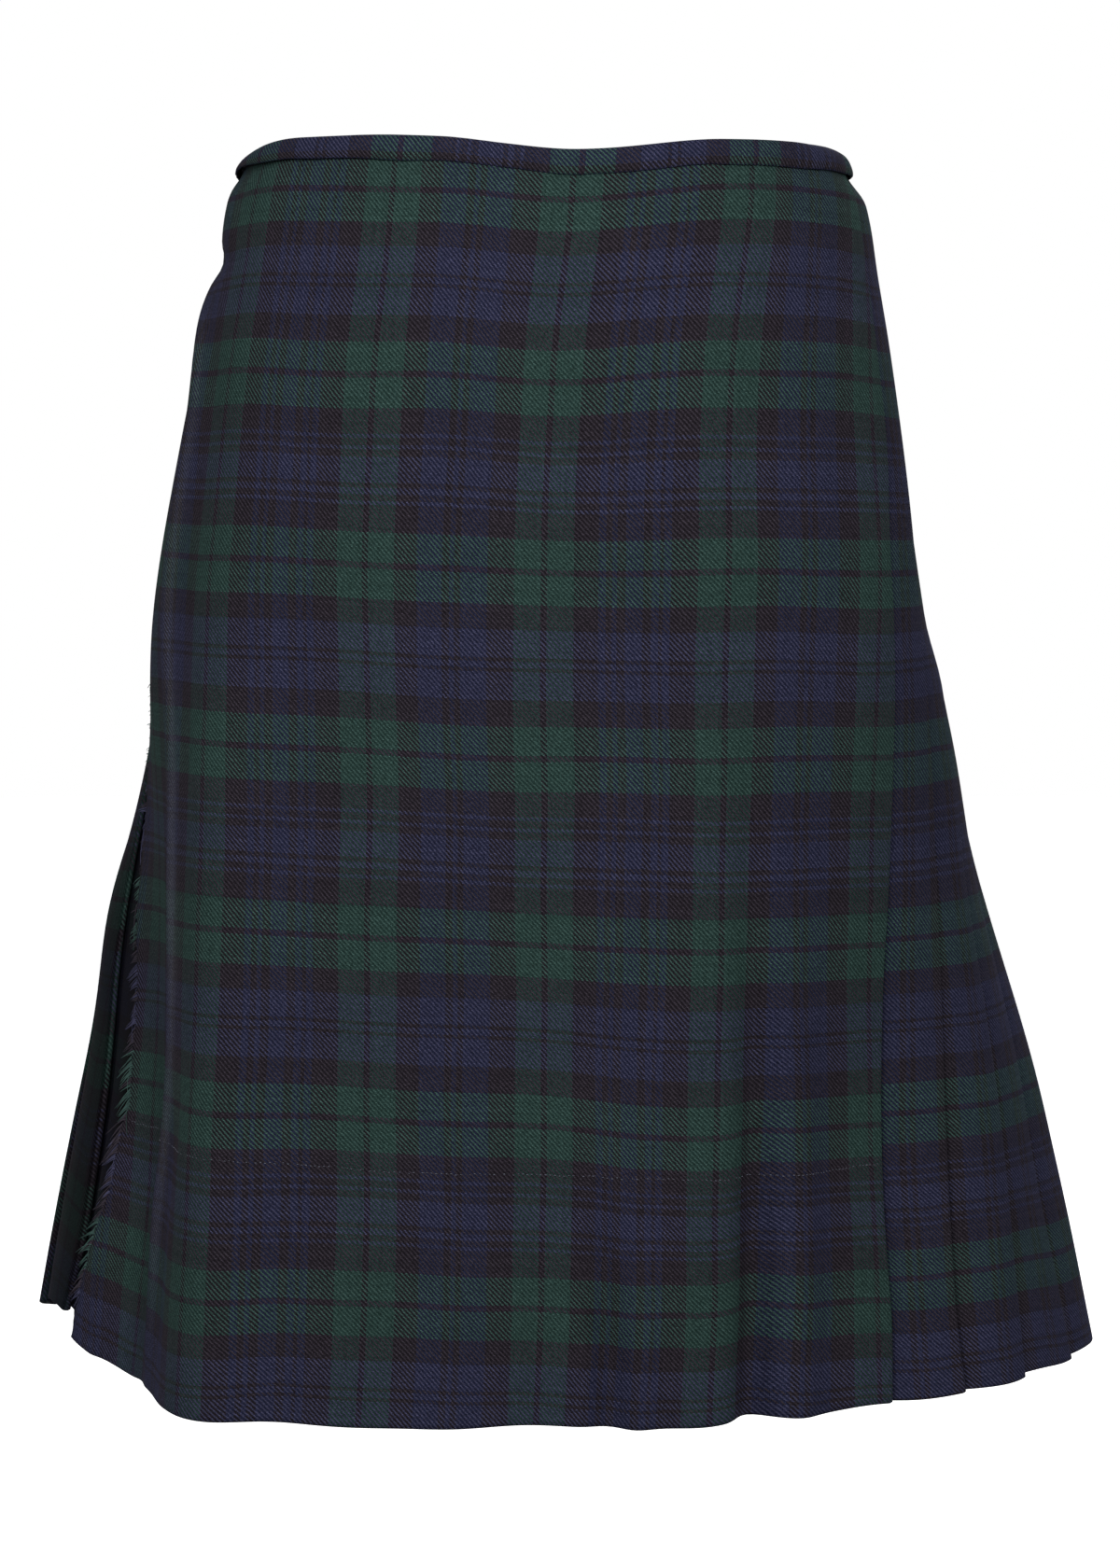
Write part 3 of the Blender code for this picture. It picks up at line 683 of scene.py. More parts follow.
def apron_profile(down, columns=132):
    e = edges(down)
    r = ring(down)
    start = free_edge(down)
    start += (0.00035 * math.sin(down * 331.0) + 0.00025 * math.sin(down * 713.0 + 1)
              + 0.0002 * math.sin(down * 1511.0))
    rad = fold_radius(down)
    e0, e1 = e[0], e[1]
    deep = e1 - UNDERLAP * (e1 - e0)
    S = start + (e1 - rad - start) * np.linspace(0, 1, columns)
    O = apron_out(down, S)
    sa, oa, la = arc_points(S[-1], O[-1] - rad, rad, 7)
    back = np.linspace(S[-1], deep, 14)
    S_all = np.concatenate([S, sa, back])
    O_all = np.concatenate([O, oa, apron_out(down, back) - 2 * rad])
    W = np.concatenate([warp_at(down, S), warp_at(down, S[-1]) + la,
                        warp_at(down, S[-1]) + math.pi * rad + (S[-1] - back)])
    return S_all, O_all, W


# where the close pair of blue lines lies on each pleat, behind its edge
PAIR_BEHIND = {
    # pleat: share of the reveal
    1: 0.585,
    2: 0.36,
    3: 0.37,
    4: 0.45,
    16: 0.80,
    17: 0.85,
    18: 0.85,
}


def pleat_profile(down, j):
    e = edges(down)
    t, rad = pitch(down), fold_radius(down)
    e0, e1, e2 = e[j - 1], e[j], e[j + 1]
    under = e1 - UNDERLAP * (e1 - e0)
    deep = e2 - UNDERLAP * (e2 - e1)
    hidden = np.linspace(under, e1, 8)[:-1]
    k = 1 - (1 - np.linspace(0, 1, 22)) ** 1.25
    face = e1 + (e2 - rad - e1) * k
    S = np.concatenate([hidden, face])
    K = np.where(S < e1, 1 + (e1 - S) / (e1 - e0), (e2 - S) / (e2 - e1))
    O = -tuck_in(down, S) - t * K
    sa, oa, la = arc_points(S[-1], O[-1] - rad, rad, 7)
    back = np.linspace(S[-1], deep, 8)
    Kb = (e2 - back) / (e2 - e1)
    S_all = np.concatenate([S, sa, back])
    O_all = np.concatenate([O, oa, -tuck_in(down, back) - t * Kb - 2 * rad])
    share = PAIR_BEHIND.get(j, 0.5)
    # near the waist the reveal narrows and the pair stays at its middle
    share = 0.5 + (share - 0.5) * float(smooth((down - 0.15) / 0.25))
    pair = (PAIR + 4 * REPEAT) * YARN
    edge = pair + share * (e2 - e1)
    W = np.concatenate([edge - (e2 - S), edge - rad + la,
                        edge - rad + math.pi * rad + (S[-1] - back)])
    W = W + slow(down, S_all, 2.0 * j)
    return S_all, O_all, W


def under_profile(down):
    r = ring(down)
    start = r.along("fringe_edge") + TUCK + 0.002 - r.total
    short = UNDER_SHORT_WAIST + (UNDER_SHORT_HEM - UNDER_SHORT_WAIST) * float(smooth(
        down / KILT_LENGTH))
    end = r.along("apron_fold") - short
    S = np.linspace(start, end, 74)
    O = under_out(down) + 0.35 * apron_out(down, S) \
        + 0.0012 * float(smooth((down - 0.25) / 0.3)) * np.sin(S * 38.0 + 1.0)
    return S, O, warp_at(down, S) + 0.031


# ---------------------------------------------------------------- materials
class Nodes:
    """Short names for the nodes of one material."""

    def __init__(self, name):
        self.mat = bpy.data.materials.new(name)
        self.mat.use_nodes = True
        self.tree = self.mat.node_tree
        self.bsdf = next(n for n in self.tree.nodes if n.type == "BSDF_PRINCIPLED")

    def put(self, socket, value):
        if isinstance(value, (int, float)):
            socket.default_value = value
        elif isinstance(value, tuple):
            socket.default_value = value
        else:
            self.tree.links.new(value, socket)

    def math(self, op, a, b=None, c=None, clamp=False):
        n = self.tree.nodes.new("ShaderNodeMath")
        n.operation = op
        n.use_clamp = clamp
        for socket, value in zip(n.inputs, (a, b, c)):
            if value is not None:
                self.put(socket, value)
        return n.outputs[0]

    def mix(self, fac, a, b, blend="MIX"):
        n = self.tree.nodes.new("ShaderNodeMix")
        n.data_type = "RGBA"
        n.blend_type = blend
        self.put(n.inputs["Factor"], fac)
        self.put(n.inputs[6], a)
        self.put(n.inputs[7], b)
        return n.outputs[2]

    def uv(self, name):
        n = self.tree.nodes.new("ShaderNodeUVMap")
        n.uv_map = name
        s = self.tree.nodes.new("ShaderNodeSeparateXYZ")
        self.tree.links.new(n.outputs[0], s.inputs[0])
        return s.outputs[0], s.outputs[1], n.outputs[0]

    def xyz(self, x, y, z=0.0):
        n = self.tree.nodes.new("ShaderNodeCombineXYZ")
        for socket, value in zip(n.inputs, (x, y, z)):
            self.put(socket, value)
        return n.outputs[0]

    def noise(self, vector, scale, detail=2.0, rough=0.5, dims="3D"):
        n = self.tree.nodes.new("ShaderNodeTexNoise")
        n.noise_dimensions = dims
        self.put(n.inputs["Vector"], vector)
        n.inputs["Scale"].default_value = scale
        n.inputs["Detail"].default_value = detail
        n.inputs["Roughness"].default_value = rough
        return n.outputs[0]

    def white(self, vector, dims="2D"):
        n = self.tree.nodes.new("ShaderNodeTexWhiteNoise")
        n.noise_dimensions = dims
        self.put(n.inputs["W" if dims == "1D" else "Vector"], vector)
        return n.outputs["Value"]

    def ramp(self, fac, stops, mode="LINEAR"):
        n = self.tree.nodes.new("ShaderNodeValToRGB")
        r = n.color_ramp
        r.interpolation = mode
        while len(r.elements) > 1:
            r.elements.remove(r.elements[-1])
        r.elements[0].position = stops[0][0]
        r.elements[0].color = stops[0][1]
        for pos, col in stops[1:]:
            e = r.elements.new(pos)
            e.color = col
        self.put(n.inputs[0], fac)
        return n.outputs[0]

    def object_coords(self):
        return self.tree.nodes.new("ShaderNodeTexCoord").outputs["Object"]

    def bump(self, height, strength, distance, normal=None):
        n = self.tree.nodes.new("ShaderNodeBump")
        n.inputs["Strength"].default_value = strength
        n.inputs["Distance"].default_value = distance
        self.put(n.inputs["Height"], height)
        if normal is not None:
            self.put(n.inputs["Normal"], normal)
        return n.outputs[0]


# colours of the yarns: across the cloth (weft) and down it (warp)
WEFT = {"K": (0.0415, 0.0345, 0.0450, 1), "G": (0.0445, 0.0835, 0.0740, 1),
        "B": (0.0520, 0.0520, 0.0960, 1)}
WARP = {"K": (0.0220, 0.0178, 0.0230, 1), "G": (0.0250, 0.0550, 0.0485, 1),
        "B": (0.0220, 0.0255, 0.0600, 1)}


def sett_stops(colours, sett):
    stops, at = [], 0
    for c, n in sett:
        stops.append((at / REPEAT, colours[c]))
        at += n
    return stops


def tartan(name="tartan_wool"):
    m = Nodes(name)
    u, v, uvw = m.uv("thread")
    # yarns wander a little and vary in thickness
    drift = m.noise(uvw, 420.0, 2.0, 0.6)
    drift = m.math("MULTIPLY", m.math("SUBTRACT", drift, 0.5), 0.00030)
    u2 = m.math("ADD", u, drift)
    v2 = m.math("SUBTRACT", v, drift)
    x = m.math("DIVIDE", u2, YARN)
    y = m.math("DIVIDE", v2, YARN)
    i, fx = m.math("FLOOR", x), m.math("FRACT", x)
    j, fy = m.math("FLOOR", y), m.math("FRACT", y)
    k = m.math("FLOORED_MODULO", m.math("SUBTRACT", i, j), 4.0)
    warp_up = m.math("LESS_THAN", k, 1.5)
    # place across the yarn and along its float, both 0 to 1
    across = m.math("ADD", m.math("MULTIPLY", warp_up, fx),
                    m.math("MULTIPLY", m.math("SUBTRACT", 1.0, warp_up), fy))
    run_warp = m.math("MULTIPLY", m.math("ADD", m.math("SUBTRACT", 1.0, k), fy), 0.5)
    run_weft = m.math("MULTIPLY", m.math("ADD", m.math("SUBTRACT", k, 2.0), fx), 0.5)
    along = m.math("ADD", m.math("MULTIPLY", warp_up, run_warp),
                   m.math("MULTIPLY", m.math("SUBTRACT", 1.0, warp_up), run_weft))

    def dome(t, power):
        d = m.math("ABSOLUTE", m.math("SUBTRACT", m.math("MULTIPLY", t, 2.0), 1.0))
        return m.math("SUBTRACT", 1.0, m.math("POWER", d, power), clamp=True)
    height = m.math("MULTIPLY", m.math("ADD", 0.25, m.math("MULTIPLY", dome(across, 2.4), 0.75)),
                    m.math("ADD", 0.45, m.math("MULTIPLY", dome(along, 2.2), 0.55)))
    # colours
    warp = m.ramp(m.math("DIVIDE", m.math("ADD", m.math("FLOORED_MODULO", i, float(REPEAT)), 0.5),
                         float(REPEAT)), sett_stops(WARP, SETT_WARP), "CONSTANT")
    weft = m.ramp(m.math("DIVIDE", m.math("ADD", m.math("FLOORED_MODULO", j, float(REPEAT)), 0.5),
                         float(REPEAT)), sett_stops(WEFT, SETT), "CONSTANT")
    colour = m.mix(warp_up, weft, warp)
    # every yarn, every float and every few fibres a little lighter or darker
    yarn = m.math("ADD", m.math("MULTIPLY", warp_up, m.white(m.xyz(i, 7.0))),
                  m.math("MULTIPLY", m.math("SUBTRACT", 1.0, warp_up), m.white(m.xyz(3.0, j))))
    cell = m.white(m.xyz(m.math("FLOOR", m.math("SUBTRACT", x, m.math("MULTIPLY", 0.5, 1.0))), j))
    fibre = m.noise(m.xyz(m.math("MULTIPLY", u2, 3200.0), m.math("MULTIPLY", v2, 3200.0)), 1.0, 2.0, 0.6)
    cloud = m.noise(uvw, 26.0, 3.0, 0.55)
    light = m.math("ADD", 0.78, m.math("MULTIPLY", yarn, 0.22))
    light = m.math("MULTIPLY", light, m.math("ADD", 0.70, m.math("MULTIPLY", cell, 0.60)))
    light = m.math("MULTIPLY", light, m.math("ADD", 0.50, m.math("MULTIPLY", fibre, 1.0)))
    light = m.math("MULTIPLY", light, m.math("ADD", 0.90, m.math("MULTIPLY", cloud, 0.20)))
    # painted shade: each yarn darker at its edges and between floats, lighter on its crown
    light = m.math("MULTIPLY", light, m.math("ADD", 0.34, m.math("MULTIPLY", height, 0.98)))
    # the ribs of the twill: the sunk warp floats lie in their own shade
    slant = m.math("MULTIPLY", m.math("SUBTRACT", m.math("SUBTRACT", x, y), 1.0), math.pi / 2)
    light = m.math("MULTIPLY", light,
                   m.math("SUBTRACT", 1.0, m.math("MULTIPLY", m.math("COSINE", slant), 0.27)))
    slub = m.noise(m.xyz(m.math("MULTIPLY", u2, 1250.0), m.math("MULTIPLY", v2, 1250.0), 4.0), 1.0, 1.0, 0.5)
    light = m.math("MULTIPLY", light, m.math("ADD", 0.57, m.math("MULTIPLY", slub, 0.86)))
    # painted shade: ambient occlusion darkens the colour in creases and recesses
    deep = m.tree.nodes.new("ShaderNodeAmbientOcclusion")
    deep.samples = 6
    deep.inputs["Distance"].default_value = 0.022
    light = m.math("MULTIPLY", light,
                   m.math("ADD", 0.36, m.math("MULTIPLY", deep.outputs["AO"], 0.64)))
    # painted shade held in the colour: behind the free edge and beneath the pressed edges
    wear = m.uv("wear")[0]
    light = m.math("MULTIPLY", light, m.math("SUBTRACT", 1.0, wear, clamp=True))
    # painted highlight: the pale sheen along the roll's crest, mixed towards a pale bluish grey
    painted_highlight = m.math("MULTIPLY", m.uv("wear")[1],
                    m.math("ADD", 0.55, m.math("MULTIPLY", slub, 0.70)), clamp=True)
    colour = m.mix(painted_highlight, colour, (0.142, 0.147, 0.176, 1))
    n = m.tree.nodes.new("ShaderNodeVectorMath")
    n.operation = "SCALE"
    m.tree.links.new(colour, n.inputs[0])
    m.tree.links.new(light, n.inputs["Scale"])
    m.put(m.bsdf.inputs["Base Color"], n.outputs[0])
    m.put(m.bsdf.inputs["Roughness"],
          m.math("ADD", 0.80, m.math("MULTIPLY", fibre, 0.16)))
    fuzz = m.math("ADD", height, m.math("MULTIPLY", fibre, 0.45))
    m.put(m.bsdf.inputs["Normal"], m.bump(fuzz, 0.55, 0.00022))
    m.bsdf.inputs["Specular IOR Level"].default_value = 0.01
    m.bsdf.inputs["Sheen Weight"].default_value = 0.008
    m.bsdf.inputs["Sheen Roughness"].default_value = 0.55
    m.bsdf.inputs["Sheen Tint"].default_value = (0.72, 0.70, 0.95, 1.0)
    return m.mat


def fringe_wool():
    m = Nodes("tartan_fringe")
    u, v, uvw = m.uv("thread")
    j = m.math("FLOOR", m.math("DIVIDE", v, YARN))
    weft = m.ramp(m.math("DIVIDE", m.math("ADD", m.math("FLOORED_MODULO", j, float(REPEAT)), 0.5),
                         float(REPEAT)), sett_stops(WEFT, SETT), "CONSTANT")
    twist = m.noise(m.xyz(m.math("MULTIPLY", u, 900.0), m.math("MULTIPLY", v, 4200.0)), 1.0, 2.0, 0.6)
    own = m.white(m.xyz(j, 3.0))
    light = m.math("MULTIPLY", m.math("ADD", 0.85, m.math("MULTIPLY", twist, 0.9)),
                   m.math("ADD", 0.85, m.math("MULTIPLY", own, 0.6)))
    n = m.tree.nodes.new("ShaderNodeVectorMath")
    n.operation = "SCALE"
    m.tree.links.new(weft, n.inputs[0])
    m.tree.links.new(light, n.inputs["Scale"])
    m.put(m.bsdf.inputs["Base Color"], n.outputs[0])
    m.put(m.bsdf.inputs["Roughness"], m.math("ADD", 0.82, m.math("MULTIPLY", twist, 0.14)))
    m.put(m.bsdf.inputs["Normal"], m.bump(twist, 0.5, 0.0002))
    m.bsdf.inputs["Specular IOR Level"].default_value = 0.01
    m.bsdf.inputs["Sheen Weight"].default_value = 0.03
    m.bsdf.inputs["Sheen Roughness"].default_value = 0.5
    m.bsdf.inputs["Sheen Tint"].default_value = (0.72, 0.70, 0.95, 1.0)
    return m.mat


def leather():
    m = Nodes("strap_leather")
    co = m.object_coords()
    big = m.noise(co, 60.0, 3.0, 0.6)
    grain = m.tree.nodes.new("ShaderNodeTexVoronoi")
    grain.feature = "DISTANCE_TO_EDGE"
    grain.inputs["Scale"].default_value = 900.0
    m.put(grain.inputs["Vector"], co)
    pore = m.math("MINIMUM", m.math("MULTIPLY", grain.outputs["Distance"], 5.0), 1.0)
    fine = m.noise(co, 2600.0, 2.0, 0.6)
    colour = m.ramp(big, [(0.3, (0.0060, 0.0052, 0.0050, 1)), (0.7, (0.0140, 0.0120, 0.0112, 1))])
    colour = m.mix(m.math("MULTIPLY", m.math("SUBTRACT", 1.0, pore), 0.45), colour,
                   (0.004, 0.0035, 0.003, 1))
    m.put(m.bsdf.inputs["Base Color"], colour)
    m.put(m.bsdf.inputs["Roughness"],
          m.math("ADD", 0.40, m.math("MULTIPLY", big, 0.24)))
    m.put(m.bsdf.inputs["Normal"],
          m.bump(m.math("ADD", pore, m.math("MULTIPLY", fine, 0.4)), 0.35, 0.00012))
    m.bsdf.inputs["Specular IOR Level"].default_value = 0.22
    return m.mat


def metal():
    m = Nodes("buckle_metal")
    co = m.object_coords()
    cloud = m.noise(co, 140.0, 3.0, 0.6)
    fine = m.noise(co, 1900.0, 3.0, 0.7)
    m.put(m.bsdf.inputs["Base Color"],
          m.ramp(cloud, [(0.35, (0.50, 0.50, 0.48, 1)), (0.65, (0.74, 0.74, 0.71, 1))]))
    m.bsdf.inputs["Metallic"].default_value = 1.0
    m.put(m.bsdf.inputs["Roughness"],
          m.math("ADD", 0.14, m.math("MULTIPLY", m.math("ADD", cloud, fine), 0.12)))
    m.put(m.bsdf.inputs["Normal"], m.bump(fine, 0.12, 0.00005))
    return m.mat


def thread_mat(name, low, high):
    m = Nodes(name)
    co = m.object_coords()
    n1 = m.noise(co, 2400.0, 2.0, 0.6)
    n2 = m.noise(co, 120.0, 2.0, 0.6)
    m.put(m.bsdf.inputs["Base Color"],
          m.ramp(m.math("ADD", m.math("MULTIPLY", n1, 0.5), m.math("MULTIPLY", n2, 0.5)),
                 [(0.35, low), (0.65, high)]))
    m.bsdf.inputs["Roughness"].default_value = 0.7
    m.put(m.bsdf.inputs["Normal"], m.bump(n1, 0.4, 0.0001))
    return m.mat


WOOL = tartan()
FRINGE = fringe_wool()
LEATHER = leather()
METAL = metal()
HEM_THREAD = thread_mat("hem_thread", (0.042, 0.047, 0.066, 1), (0.14, 0.15, 0.20, 1))
SEAM_THREAD = thread_mat("seam_thread", (0.006, 0.006, 0.008, 1), (0.020, 0.020, 0.026, 1))

# ---------------------------------------------------------------- cloth
def painted_roll_highlight(down, S):
    """Painted highlight along the crest of the soft roll, held in the colour."""
    crest = hermite([r[0] for r in ROLL], [r[1] for r in ROLL], down)
    strong = float(np.interp(down, (0.055, 0.10, 0.17, 0.25, 0.33, 0.38, 0.43, 0.47, 0.52, 0.56, 0.60),
                             (0.0, 0.42, 0.50, 0.60, 0.95, 1.0, 0.80, 0.95, 0.65, 0.40, 0.10)))
    d = front_s(down, S) - crest
    soft = 0.0034 + 0.0008 * math.sin(down * 37.0 + 1.0)
    return strong * (0.30 * np.exp(-((d - 0.0066) / soft) ** 2)
                     + 0.15 * np.exp(-((d - 0.0050) / 0.0090) ** 2))


def fine_columns(down):
    return apron_profile(down, 176)


apron = cloth("kilt_over_apron", row_depths(TOP_CLEAR, 0.0042), fine_columns, WOOL,
              lambda d: hem_thick(d, CLOTH, 0.0019), pale=painted_roll_highlight)
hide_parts("over_apron")
pleats = []
# the pleats behind the fringed edge hang a little shorter
PLEAT_LIFT = {15: 0.002, 16: 0.004, 17: 0.005, 18: 0.005}


def pleat_dark(down, S, last=False):
    """The shade behind the over apron's free edge, held in the cloth's colour."""
    total = ring(down).total
    e = edges(down)
    a, b = e[18] - total, e[19] - total
    S = np.asarray(S, float) - (total if np.mean(S) > 0 else 0.0)
    if last:
        return 0.90 * smooth((S - a + 0.004) / 0.002) * float(smooth((down - 0.22) / 0.12))
    behind = 0.10 + 0.70 * smooth((a - 0.00012 - S) / 0.0004)
    return behind * (1.0 - smooth((a - 0.030 - S) / 0.090)) * float(smooth((down - 0.23) / 0.20))


def pleat_crease(down, S, j):
    """The shade beneath the neighbour's pressed edge, held in the colour."""
    d = np.asarray(S, float) - edges(down)[j]
    return 0.60 * np.exp(-(d / 0.0030) ** 2) * float(smooth((down - 0.32) / 0.12))


def pleat_shift(down, j):
    """How much higher the pattern lies on a pleat than on the apron."""
    size = {1: 1.0, 2: 0.85, 3: 0.65, 4: 0.45}.get(j, 0.2)
    return size * float(np.interp(down, (0.28, 0.381, 0.47, 0.558, 0.614),
                                  (0.0, 0.0018, 0.0042, 0.0100, 0.0115)))


for j in range(1, PLEATS + 1):
    p = cloth("kilt_pleat_%02d" % j, row_depths(TOP_CLEAR, 0.0072),
              lambda d, j=j: pleat_profile(d, j), WOOL,
              lambda d: hem_thick(d, CLOTH, 0.0014),
              lambda d, j=j: pleat_shift(d, j), PLEAT_LIFT.get(j, 0.0),
              (lambda d, S, j=j: pleat_dark(d, S, j == PLEATS)) if j >= 15 else
              (lambda d, S, j=j: pleat_crease(d, S, j)) if j <= 4 else None)
    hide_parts("pleat_%02d" % j)
    pleats.append(p)
under = cloth("kilt_under_apron", row_depths(TOP_CLEAR, 0.0085), under_profile, WOOL,
              lambda d: hem_thick(d, CLOTH, 0.0018))
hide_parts("under_apron")


# ---------------------------------------------------------------- waistband
def band(name, lengths, outer, inner, slot_nodes):
    """A strip folded over the top edge: inner leg, rounded top, outer leg."""
    top = 0.0042
    path = [(BAND_INSIDE, 0.0, 0.20), (BAND_INSIDE - 0.0004, 0.0, 0.0)]
    path += [(d, 0.0, 0.0) for d in np.linspace(BAND_INSIDE - 0.0012, top, 6)]
    for a in np.linspace(0, math.pi, 15)[1:-1]:
        path.append((top * (1 - math.sin(a) ** 0.8), (1 - math.cos(a)) / 2, 0.0))
    path += [(d, 1.0, 0.0) for d in np.linspace(top, BAND_DEPTH - 0.0040, 5)]
    path += [(BAND_DEPTH - 0.0028, 1.0, 0.10), (BAND_DEPTH - 0.0017, 1.0, 0.32),
             (BAND_DEPTH - 0.0008, 1.0, 0.66), (BAND_DEPTH, 1.0, 1.18)]
    s = lengths
    downs = np.array([p[0] for p in path])
    mixes = np.array([p[1] for p in path])
    dips = np.array([p[2] for p in path])
    O_in, O_out = inner(0.0, s), outer(0.0, s)
    O = O_in[None, :] + (O_out - O_in)[None, :] * mixes[:, None]
    O = O + np.where(mixes[:, None] > 0.5, -0.0006, 0.0009) * dips[:, None]
    # the strip is a little fuller between its edges, puckered at the seam
    full = np.where(mixes > 0.99, np.sin(np.clip((downs - 0.002) / 0.0105, 0, 1) * math.pi), 0.0)
    O = O + 0.00045 * full[:, None]
    pucker = np.clip((downs - 0.006) / 0.0065, 0, 1) * (mixes > 0.99)
    O = O + pucker[:, None] * (0.00012 * np.sin(s * 520.0) + 0.00010 * np.sin(s * 907.0 + 1.0)
                               + 0.00010 * np.sin(s * 231.0 + 2.0))[None, :]
    edge = 0.00022 * np.sin(s * 61.0 + 0.7) + 0.00016 * np.sin(s * 149.0 + 2.0)
    D = downs[:, None] + np.where(mixes > 0.99, np.clip((downs - 0.004) / 0.008, 0, 1), 0.0)[:, None] * edge
    near_hip = (np.exp(-((front_s(0.0, s) + 0.262) / 0.036) ** 2)
                + 0.8 * np.exp(-((front_s(0.0, s) - 0.204) / 0.030) ** 2))
    D = D * (1.0 - 0.26 * near_hip)[None, :]
    dd, do = np.gradient(D, axis=0), np.gradient(O, axis=0)
    size = np.maximum(np.hypot(dd, do), 1e-9)
    Q_D = D - do / size * 0.0 + (do / size) * CLOTH
    Q_O = O - (dd / size) * CLOTH
    P = np.array([[None] * 0])
    rows_p, rows_q, uvs = [], [], []
    # the section hardly changes over the band's few millimetres
    for r in range(len(path)):
        rows_p.append(place_band(D[r], s, O[r]))
        rows_q.append(place_band(Q_D[r], s, Q_O[r]))
    run = np.concatenate([[0.0], np.cumsum(np.hypot(np.diff(D, axis=0), np.diff(O, axis=0)).mean(1))])
    across = 74 * YARN - (run[-1] - run) + 6 * REPEAT * YARN
    for r in range(len(path)):
        uvs.append(np.stack([np.full_like(s, across[r]),
                             s - 0.0035 + (GREEN_A + 4 * REPEAT) * YARN + slow(0.0, s, 9.0)], -1))
    P, Q, U = np.array(rows_p), np.array(rows_q), np.array(uvs)
    ob = shell(name, P, Q, U, U, WOOL)
    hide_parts(*slot_nodes)
    return ob


# How much higher the waistband runs at the hips, in millimetres.
BAND_RISE = (
    # along the front; its top edge; its seam
    (-0.26, -0.20, -0.165, -0.145, -0.118, -0.10, -0.083, -0.060, -0.047, -0.020,
     0.03, 0.075, 0.10, 0.14, 0.19, 0.25),
    (0.0, 1.6, 2.7, 2.4, 2.1, 2.1, 1.3, 0.0, -0.9, -0.4, 0.0, 1.2, 1.8, 1.8, 0.8, 0.0),
    (0.0, 8.0, 5.0, 3.9, 3.6, 2.6, 1.4, 0.4, 0.0, 0.0, 0.0, 1.0, 1.5, 1.5, 0.8, 0.0))


def place_band(down, s, out):
    """Points at a depth of their own each, near the waist."""
    a = place(0.0, s, out)
    b = place(0.014, s, out)
    w = np.clip(down / 0.014, -0.2, 1.2)[:, None]
    p = a + (b - a) * w
    f = front_s(0.0, s)
    t = np.clip(down / BAND_DEPTH, 0.0, 1.0)
    p[:, 2] = rise(0.006, s) - down
    for back_off in (-0.009, 0.0, 0.009):
        top = np.interp(f + back_off, BAND_RISE[0], BAND_RISE[1])
        seam = np.interp(f + back_off, BAND_RISE[0], BAND_RISE[2])
        p[:, 2] += (top * (1.0 - t) + seam * t) * MM / 3
    return p


first, lastd = fold_edge(0.0, 0), fold_edge(0.0, PLEATS)
ring0 = ring(0.0)
start0 = ring0.along("fringe_edge") - ring0.total
outer_at = 0.0010
inner_at = -2 * CLOTH - BAND_CLEAR
deep_at = -2 * PITCH_WAIST - 2 * CLOTH - BAND_CLEAR

band_over = band(
    "kilt_waistband_over_apron", np.arange(start0, first + 0.0005, 0.0026),
    lambda d, s: np.full_like(s, outer_at),
    lambda d, s: inner_at + (deep_at - inner_at) * np.clip((s - 0.1215) / 0.0140, 0, 1),
    ["waistband_over_apron"])
band_back = band(
    "kilt_waistband_back", np.arange(first + 0.0012, lastd + 0.0008, 0.0030),
    lambda d, s: outer_at - tuck_in(0.0, s), lambda d, s: deep_at - tuck_in(0.0, s),
    ["waistband_back"])
us, uo, uw = under_profile(0.0)
band_under = band(
    "kilt_waistband_under_apron", np.arange(us[0], us[-1], 0.0040),
    lambda d, s: np.full_like(s, under_out(0.0) + outer_at),
    lambda d, s: np.full_like(s, under_out(0.0) + inner_at),
    ["waistband_under_apron"])


